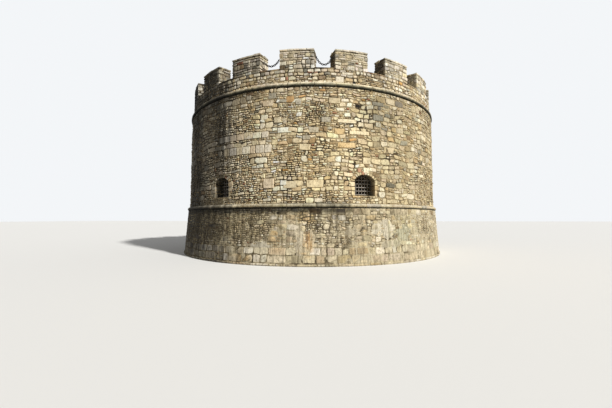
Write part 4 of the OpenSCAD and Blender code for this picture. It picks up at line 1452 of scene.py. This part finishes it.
def lay_string_course(name, low, high, nose, wall_above, wall_below, pick, lichen_and_shade, line, parts=2):
    """Long stones around the tower. One argument gives how dark lichen and painted shade make them below the line.
    """
    length = 2 * math.pi * nose
    marks = [0.0]
    while marks[-1] < length - 1.1:
        marks.append(marks[-1] + pick.uniform(0.45, 1.0))
    marks.append(length)
    cells = [(a, b, 0.0, 1.0) for a, b in zip(marks[:-1], marks[1:])]
    across, share, lift, rim = stone_grid(cells, pick, columns=nose_columns, rows=nose_rows, joint=0.0,
                                          arris=0.012, corner=0.0, ragged=0.0)
    across[:, :, 0] += nose_joint
    across[:, :, -1] -= nose_joint
    share = np.linspace(0, 1, nose_rows)[None, :, None] + 0 * across
    r, z, out, rise = nose_profile(share, wall_above, wall_below, nose, low, high)
    wear = pick.uniform(0.004, 0.009, len(cells))[:, None, None] * (1 + 0.5 * (lift - 1))
    ends = np.zeros(rim.shape, bool)
    ends[:, :, [0, -1]] = True
    stand = np.where(ends, -0.010, wear)
    turn = across / nose
    points = outward(turn) * (r + out * stand)[..., None]
    points[..., 2] = z + rise * stand
    colours = draw_colours(len(cells), course_mix, pick, 0.04)
    shade = weathered_stones(colours, points)
    ragged = 0.16 * waver(turn, z, 41, 120, 20.0) + 0.10 * waver(turn, z, 42, 400, 30.0)
    # Under the line lichen and painted shade, right underneath painted shadow, over the line washed grey and
    # painted light
    under = np.clip((line - rise + ragged) / 0.55, 0, 1)[..., None] * lichen_and_shade
    painted_shadow_underneath = np.clip((-0.25 - rise + 0.6 * ragged) / 0.35, 0, 1)[..., None] * 0.86
    over = np.clip((rise - line + ragged) / 0.4, 0, 1)[..., None] * 0.5
    shade = greyed(greyed(shade, over, (1.26, 1.20, 1.02)), under, (0.36, 0.35, 0.24)) * (1 - painted_shadow_underneath)
    middle = across[:, nose_rows // 2, nose_columns // 2] / length
    build_parts(name, parts, middle, points, shade, 50)


pick = np.random.default_rng(67)
lay_string_course("lower_course_stones", course_z, course_top, lower_nose, drum_radius, scarp_radius, pick,
                  0.82, -0.02)
lay_string_course("upper_course_stones", upper_z, parapet_z, upper_nose, parapet_radius, drum_top_radius, pick,
                  0.92, 0.35)

# %% [markdown]
# ## Edges of the openings
# Around a window and the doorway, stones turn the corner from the wall's face into the opening. They are
# laid along a path that goes up one jamb, over the arch and down the other jamb. Each stone's grid runs
# from the face, over the edge and into the depth of the wall.

# %% Path around an opening
def edge_path(opening):
    """Functions for the path's length, and for the point and outward direction at a distance."""
    radius, arch_z, spring = arch_of(opening)
    swing = math.asin(opening["width"] / 2 / radius)
    jamb = spring - opening["sill"]
    total = 2 * jamb + 2 * swing * radius

    def at(distance):
        angle = np.clip((distance - jamb) / radius, 0, 2 * swing) - swing
        drop = np.clip(jamb - distance, 0, None) + np.clip(distance - total + jamb, 0, None)
        u = radius * np.sin(angle)
        z = arch_z + radius * np.cos(angle) - drop
        soft = 0.10
        lean = np.clip((distance - jamb + soft) / (2 * soft), 0, 1)
        lean = lean * np.clip((total - jamb - distance + soft) / (2 * soft), 0, 1)
        side = np.where(distance < total / 2, -1.0, 1.0)
        steep = side * math.pi / 2 * (1 - lean) + angle * lean
        return u, z, np.sin(steep), np.cos(steep)
    return at, total, jamb


# %% [markdown]
# The path is parted into stones, with a joint where the jamb meets the arch. One row of stones turns the
# corner: its grid reaches out on the wall's face by a border of uneven width and into the opening by 20 to
# 32 cm. A second row goes on from there into the depth, greyed and darkened there as painted shade.

# %% Stones along an edge
reveal_shade_depth = 0.10


def lay_edge(name, opening, azimuth, face, border, depth, pick, mix, block, voussoir, crown_stones=()):
    """Stones along the path, in two rows into the depth."""
    at, total, jamb = edge_path(opening)
    marks = [0.0]
    while marks[-1] < total:
        place = marks[-1]
        arch = jamb - 0.01 < place < total - jamb - 0.05
        step = pick.uniform(*(voussoir if arch else block))
        nxt = place + step
        if place < jamb < nxt + 0.05:
            nxt = jamb
        if place < total - jamb < nxt + 0.03:
            nxt = total - jamb
        if total - nxt < block[0] * 0.7:
            nxt = total
        marks.append(nxt)
    first, second = [], []
    for a, b in zip(marks[:-1], marks[1:]):
        arch = jamb - 0.01 < (a + b) / 2 < total - jamb + 0.01
        wide = border * pick.uniform(1.0, 1.6) if arch else border * pick.uniform(0.95, 2.3)
        deep = pick.uniform(0.20, 0.32)
        first.append((-wide, deep, a, b))
        second.append((deep, depth, a, b))
    grids = [stone_grid(cells, pick, corners=corners, joint=0.012, corner=0.16, ragged=0.05)
             for cells, corners in ((first, (0.0,)), (second, ()))]
    q, p, lift, rim = map(np.concatenate, zip(*grids))
    count = len(q)
    u, z, nu, nz = at(p)
    on_face = np.clip(-q, 0, None)
    into = np.clip(q, 0, None)
    u = u + nu * on_face
    z = z + nz * on_face
    stand = np.where(rim, -0.014, lift * pick.uniform(0.016, 0.034, count)[:, None, None])
    front = np.where(q <= 0.002, 1.0, 0.0)
    inner = np.where(q >= -0.002, 0.6, 0.0)
    u = u - nu * stand * inner
    z = z - nz * stand * inner
    out = np.sqrt(np.maximum(face(z) ** 2 - u ** 2, 1)) - into + stand * front
    turn = np.full(q.shape, math.radians(azimuth))
    points = along(turn) * u[..., None] + outward(turn) * out[..., None]
    points[..., 2] = z
    colours = draw_colours(count, mix, pick)
    for place, colour_name in crown_stones:
        nearest = np.abs(p[:len(first), 2, 2] - total * place).argmin()
        colours[nearest] = stone_colours[colour_name]
    shade = weathered_stones(colours, points)
    # Painted shade of the opening: the stones are greyed and darkened the deeper they lie
    soot = np.clip(into / reveal_shade_depth, 0, 1)[..., None]
    return build_stones(name, points, greyed(shade, 0.7 * soot, (0.98, 1.0, 0.92)) * (1 - 0.74 * soot))


# %% [markdown]
# All six windows are laid with the same call, and each gets its own stones because the draws go on. Pale and
# reddish stones stand near the crown, at given shares of the path. The doorway at the back has larger stones.

# %% Lay the edges of the windows and the doorway
pick = np.random.default_rng(77)
window_names = ["back_left", "left", "front_left", "front_right", "right", "back_right"]
arch_mix = {"cream": 14, "buff": 12, "tan": 7, "sand": 6, "pale": 6, "rose": 4, "terracotta": 0.6}
for name, azimuth in zip(window_names, window_azimuths):
    crown = ((0.62, "terracotta"), (0.68, "honey"))
    if name == "front_right":
        crown = ((0.55, "pale"), (0.46, "terracotta"))
    lay_edge(f"window_edge_{name}", window, azimuth, drum_face, window_border, 0.49, pick, arch_mix,
             (0.12, 0.23), (0.085, 0.14), crown)
lay_edge("doorway_edge", door, door_azimuth, scarp_face, door_border, 0.49, pick, foot_mix,
         (0.18, 0.34), (0.10, 0.16))

# %% [markdown]
# ## Terrace paving
# The terrace is paved with flat irregular flags. They are laid in straight courses over a square and
# trimmed to the circle inside the parapet.

# %% Lay the paving
def disc_shape(radius):
    """Keeps points inside a circle."""
    def push(across, upward):
        away = np.hypot(across, upward)
        outside = away > radius
        shrink = np.where(outside, radius / np.maximum(away, 0.01), 1)
        return across * shrink, upward * shrink, outside
    return push


pick = np.random.default_rng(87)
paving_edge = parapet_inside - 0.02
flag_beds = bed_heights(-paving_edge, paving_edge, 0.34, 0.52, pick)
flag_cells = [(a - paving_edge, b - paving_edge, c, d)
              for a, b, c, d in lay_rubble(2 * paving_edge, flag_beds, pick, single=0.85, longest=1.9)]
across, upward, lift, rim = stone_grid(flag_cells, pick, joint=0.022, corner=0.18, ragged=0.06)
across += 0.03 * np.sin(upward * 3.1 + 1) + 0.02 * np.sin(upward * 7.7)
upward += 0.03 * np.sin(across * 2.7) + 0.015 * np.sin(across * 8.3 + 2)
across, upward, kept = keep_out(across, upward, [disc_shape(paving_edge)])
across, upward, lift, rim = across[kept], upward[kept], lift[kept], rim[kept]
stand = np.where(rim, -0.01, 0.010 + 0.004 * (lift - 1) + pick.uniform(0, 0.006, len(across))[:, None, None])
points = np.stack([across, upward, paving_z + stand], -1)
colours = draw_colours(len(points), paving_mix, pick)
shade = np.clip(np.broadcast_to(colours[:, None, None, :], points.shape), 0.01, 0.95)
build_stones("terrace_flags", points, shade * 0.8)

# %% [markdown]
# ## Sills and threshold
# A window's sill is two long slabs, worn along their edges, that reach a little way under the jambs. Each is
# modelled by hand at azimuth 0: a cube at its size, its edges bevelled, its faces cut finer and its points
# moved a few millimetres, as wear does. It is then turned about the tower's axis to its window.

# %% Model a slab
def settle():
    """Puts an object's place, turn and size into its mesh."""
    bpy.ops.object.transform_apply(location=True, rotation=True, scale=True)


def edit_all():
    """Edit mode, with the whole mesh selected."""
    bpy.ops.object.mode_set(mode="EDIT")
    bpy.ops.mesh.select_all(action="SELECT")


def model_slab(name, left, right, near, far, low, high, seed):
    """A worn slab at azimuth 0, from one side, distance off the axis and height to another."""
    deselect()
    bpy.ops.mesh.primitive_cube_add(size=1, location=((left + right) / 2, -(near + far) / 2, (low + high) / 2),
                                    scale=(right - left, far - near, high - low))
    slab = bpy.context.object
    slab.name = name
    settle()
    edit_all()
    bpy.ops.mesh.bevel(offset=0.012, segments=2, affect="EDGES")
    bpy.ops.mesh.select_all(action="SELECT")
    bpy.ops.mesh.subdivide(number_cuts=3, smoothness=0)
    bpy.ops.transform.vertex_random(offset=0.006, uniform=0.2, seed=seed)
    bpy.ops.object.mode_set(mode="OBJECT")
    return slab


def finish_slab(slab, azimuth, colour):
    """Turns a slab to its azimuth, and gives it its stone."""
    slab.rotation_euler.z = math.radians(azimuth)
    settle()
    points = np.array([v.co for v in slab.data.vertices])
    keep_colours(slab.data, weathered(np.broadcast_to(stone_colours[colour], points.shape), points))
    finish_with(slab, limestone)
    bpy.ops.object.shade_smooth_by_angle(angle=math.radians(35))
    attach(slab, "root")


sill_near = drum_top_radius - 0.5
sill_half = window["width"] / 2 + 0.085
for number, (name, azimuth) in enumerate(zip(window_names, window_azimuths)):
    joint = (-0.06, 0.10, -0.14)[number % 3]
    for side, left, right in (("left", -sill_half, joint - 0.005), ("right", joint + 0.005, sill_half)):
        slab = model_slab(f"sill_{name}_{side}", left, right, sill_near - 0.01,
                          drum_radius + (0.016 if side == "left" else 0.010), sill_low - 0.004, sill_high + 0.008,
                          2 * number + (side == "right"))
        finish_slab(slab, azimuth, "honey" if side == "left" else "cream")

slab = model_slab("threshold_slab", -door["width"] / 2 - 0.01, door["width"] / 2 + 0.01, scarp_radius - 0.5,
                  foot_radius + 0.02, 0.0, door_high.z + 0.012, 9)
finish_slab(slab, door_azimuth, "grey")
print("slabs:", 2 * len(window_names) + 1)

# %% [markdown]
# ## Window grilles
# Each window has a grille of upright round bars that pass through flat level bars, which are swollen at
# each crossing, as forged ones are. A bar is a cylinder or a cube, cut across by bisect, and the new ring of
# points is then widened. Each is modelled at its place, as long as the arch leaves room for.

# %% Model the bars
bar_radius = 0.011
bar_flat, bar_thick = 0.028, 0.014
swelling = 0.026


def arch_height(offset, opening):
    """Height of the arch at an offset from the middle."""
    radius, arch_z, _ = arch_of(opening)
    return arch_z + math.sqrt(radius ** 2 - offset ** 2)


def model_upright(offset, low, high, distance):
    """Round bar with a slight hammered waist, at a distance off the axis."""
    bpy.ops.mesh.primitive_cylinder_add(vertices=10, radius=bar_radius, depth=high - low,
                                        location=(offset, -distance, (low + high) / 2))
    bar = bpy.context.object
    settle()
    edit_all()
    bpy.ops.mesh.bisect(plane_co=(0, 0, low + (high - low) * 0.5), plane_no=(0, 0, 1))
    bpy.ops.transform.resize(value=(1.06, 1.06, 1), center_override=(offset, -distance, 0))
    bpy.ops.object.mode_set(mode="OBJECT")
    return bar


def model_level(low_x, high_x, height, distance, crossings):
    """Flat bar, swollen where the uprights pass through it."""
    bpy.ops.mesh.primitive_cube_add(size=1, location=((low_x + high_x) / 2, -distance, height),
                                    scale=(high_x - low_x, bar_flat, bar_thick))
    bar = bpy.context.object
    settle()
    bpy.ops.object.mode_set(mode="EDIT")
    for place in crossings:
        for edge in (-swelling, 0.0, swelling):
            bpy.ops.mesh.select_all(action="SELECT")
            bpy.ops.mesh.bisect(plane_co=(place + edge, 0, 0), plane_no=(1, 0, 0))
            if edge == 0.0:
                bpy.ops.transform.resize(value=(1, 1.6, 1.25), center_override=(place, -distance, height))
    bpy.ops.object.mode_set(mode="OBJECT")
    return bar


# %% [markdown]
# The bars of a window are joined into one piece and turned to the window's azimuth, a forearm's length back
# from the wall's face. Their ends reach a little into the stone, as leaded bars do.

# %% Model the grilles
grille_back, leaded = 0.44, 0.02
uprights, levels_of_bars = 6, 6


def model_grille(name, azimuth):
    """One window's grille, as one piece."""
    deselect()
    distance = drum_radius - grille_back
    half = window["width"] / 2
    radius, arch_z, spring = arch_of(window)
    offsets = [half * (2 * (k + 1) / (uprights + 1) - 1) for k in range(uprights)]
    bars = [model_upright(offset, window["sill"] - leaded, arch_height(offset, window) + leaded, distance)
            for offset in offsets]
    tall = window["crown"] - window["sill"]
    for k in range(levels_of_bars):
        height = window["sill"] + tall * (k + 0.6) / levels_of_bars
        reach = half if height < spring else math.sqrt(radius ** 2 - (height - arch_z) ** 2)
        reach += leaded / 2
        bars.append(model_level(-reach, reach, height, distance, [o for o in offsets if abs(o) < reach - 0.04]))
    deselect()
    for bar in bars:
        bar.select_set(True)
    bpy.context.view_layer.objects.active = bars[0]
    bpy.ops.object.join()
    grille = bpy.context.object
    grille.name = name
    grille.rotation_euler.z = math.radians(azimuth)
    settle()
    bpy.ops.object.shade_smooth_by_angle(angle=math.radians(40))
    finish_with(grille, bar_iron)
    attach(grille, "root")
    return grille


for name, azimuth in zip(window_names, window_azimuths):
    grille = model_grille(f"grille_{name}", azimuth)
    print(grille.name, len(grille.data.polygons), "faces")

# %% [markdown]
# ## Floor, light and camera
# The tower stands on a plain pale floor under a broad soft sky. The floor and the backdrop would throw a lot
# of light back on the wall, so they are pale only where the camera, or a reflection, sees them: the Light
# Path node tells such rays from the others.

# %% Floor and backdrop
def floor_material():
    """Pale where the camera sees it, and grey in the light that it throws on the wall."""
    material, tree, shader = node_tree("studio_floor")
    rays = add(tree, "ShaderNodeLightPath")
    colour = blend(tree, rays.outputs["Is Camera Ray"], (0.27, 0.27, 0.27), (0.78, 0.78, 0.77))
    tree.links.new(colour, shader.inputs["Base Color"])
    shader.inputs["Roughness"].default_value = 0.9
    return material


deselect()
bpy.ops.mesh.primitive_plane_add(size=400, location=(0, 0, 0))
floor = bpy.context.object
floor.name = "studio_floor"
floor.data.materials.append(floor_material())

world = bpy.data.worlds.new("studio_sky")
bpy.context.scene.world = world
world.use_nodes = True
tree = world.node_tree
tree.nodes.clear()
sky = add(tree, "ShaderNodeBackground", {"Color": (1.0, 0.99, 0.97, 1), "Strength": 0.24})
backdrop = add(tree, "ShaderNodeBackground", {"Color": (0.90, 0.92, 0.94, 1), "Strength": 1.0})
rays = add(tree, "ShaderNodeLightPath").outputs
seen = calc(tree, "MAXIMUM", rays["Is Camera Ray"], rays["Is Glossy Ray"])
seen = calc(tree, "MAXIMUM", seen, rays["Is Transmission Ray"])
chosen = add(tree, "ShaderNodeMixShader", {0: seen, 1: sky.outputs[0], 2: backdrop.outputs[0]})
end = add(tree, "ShaderNodeOutputWorld")
tree.links.new(chosen.outputs[0], end.inputs["Surface"])

# %% [markdown]
# One sun with a wide disc stands to the right, low enough to rake over the stones, so that each throws a soft
# shadow on the next. A vector's track quaternion turns the lamp that way.

# %% Sun
bpy.ops.object.light_add(type="SUN", location=(20, -20, 20))
sun = bpy.context.object
sun.name = "soft_sun"
sun.data.energy = 4.3
sun.data.angle = math.radians(4)
sun.data.color = (1.0, 0.98, 0.94)
sun_azimuth, sun_height = math.radians(55), math.radians(36)
sun_direction = Vector((math.sin(sun_azimuth) * math.cos(sun_height), -math.cos(sun_azimuth) * math.cos(sun_height),
                        math.sin(sun_height)))
sun.rotation_euler = sun_direction.to_track_quat("Z", "Y").to_euler()

# %% [markdown]
# The camera stands 19 m from the axis, a little right of the middle of the front, at eye level, and looks up
# a little with a wide lens.

# %% Camera
camera_azimuth = math.radians(8.675)
camera_right, camera_back, camera_height = -0.325, 19.271, 1.888
camera_pitch = math.radians(2.8)
camera_lens = 17.53

bpy.ops.object.camera_add()
camera = bpy.context.object
camera.name = "front_camera"
camera.location = (camera_right * math.cos(camera_azimuth) + camera_back * math.sin(camera_azimuth),
                   camera_right * math.sin(camera_azimuth) - camera_back * math.cos(camera_azimuth),
                   camera_height)
camera.rotation_euler = (math.radians(90) + camera_pitch, 0, camera_azimuth)
camera.data.lens = camera_lens
camera.data.sensor_width = 36
bpy.context.scene.camera = camera
bpy.context.scene.view_settings.view_transform = "Standard"
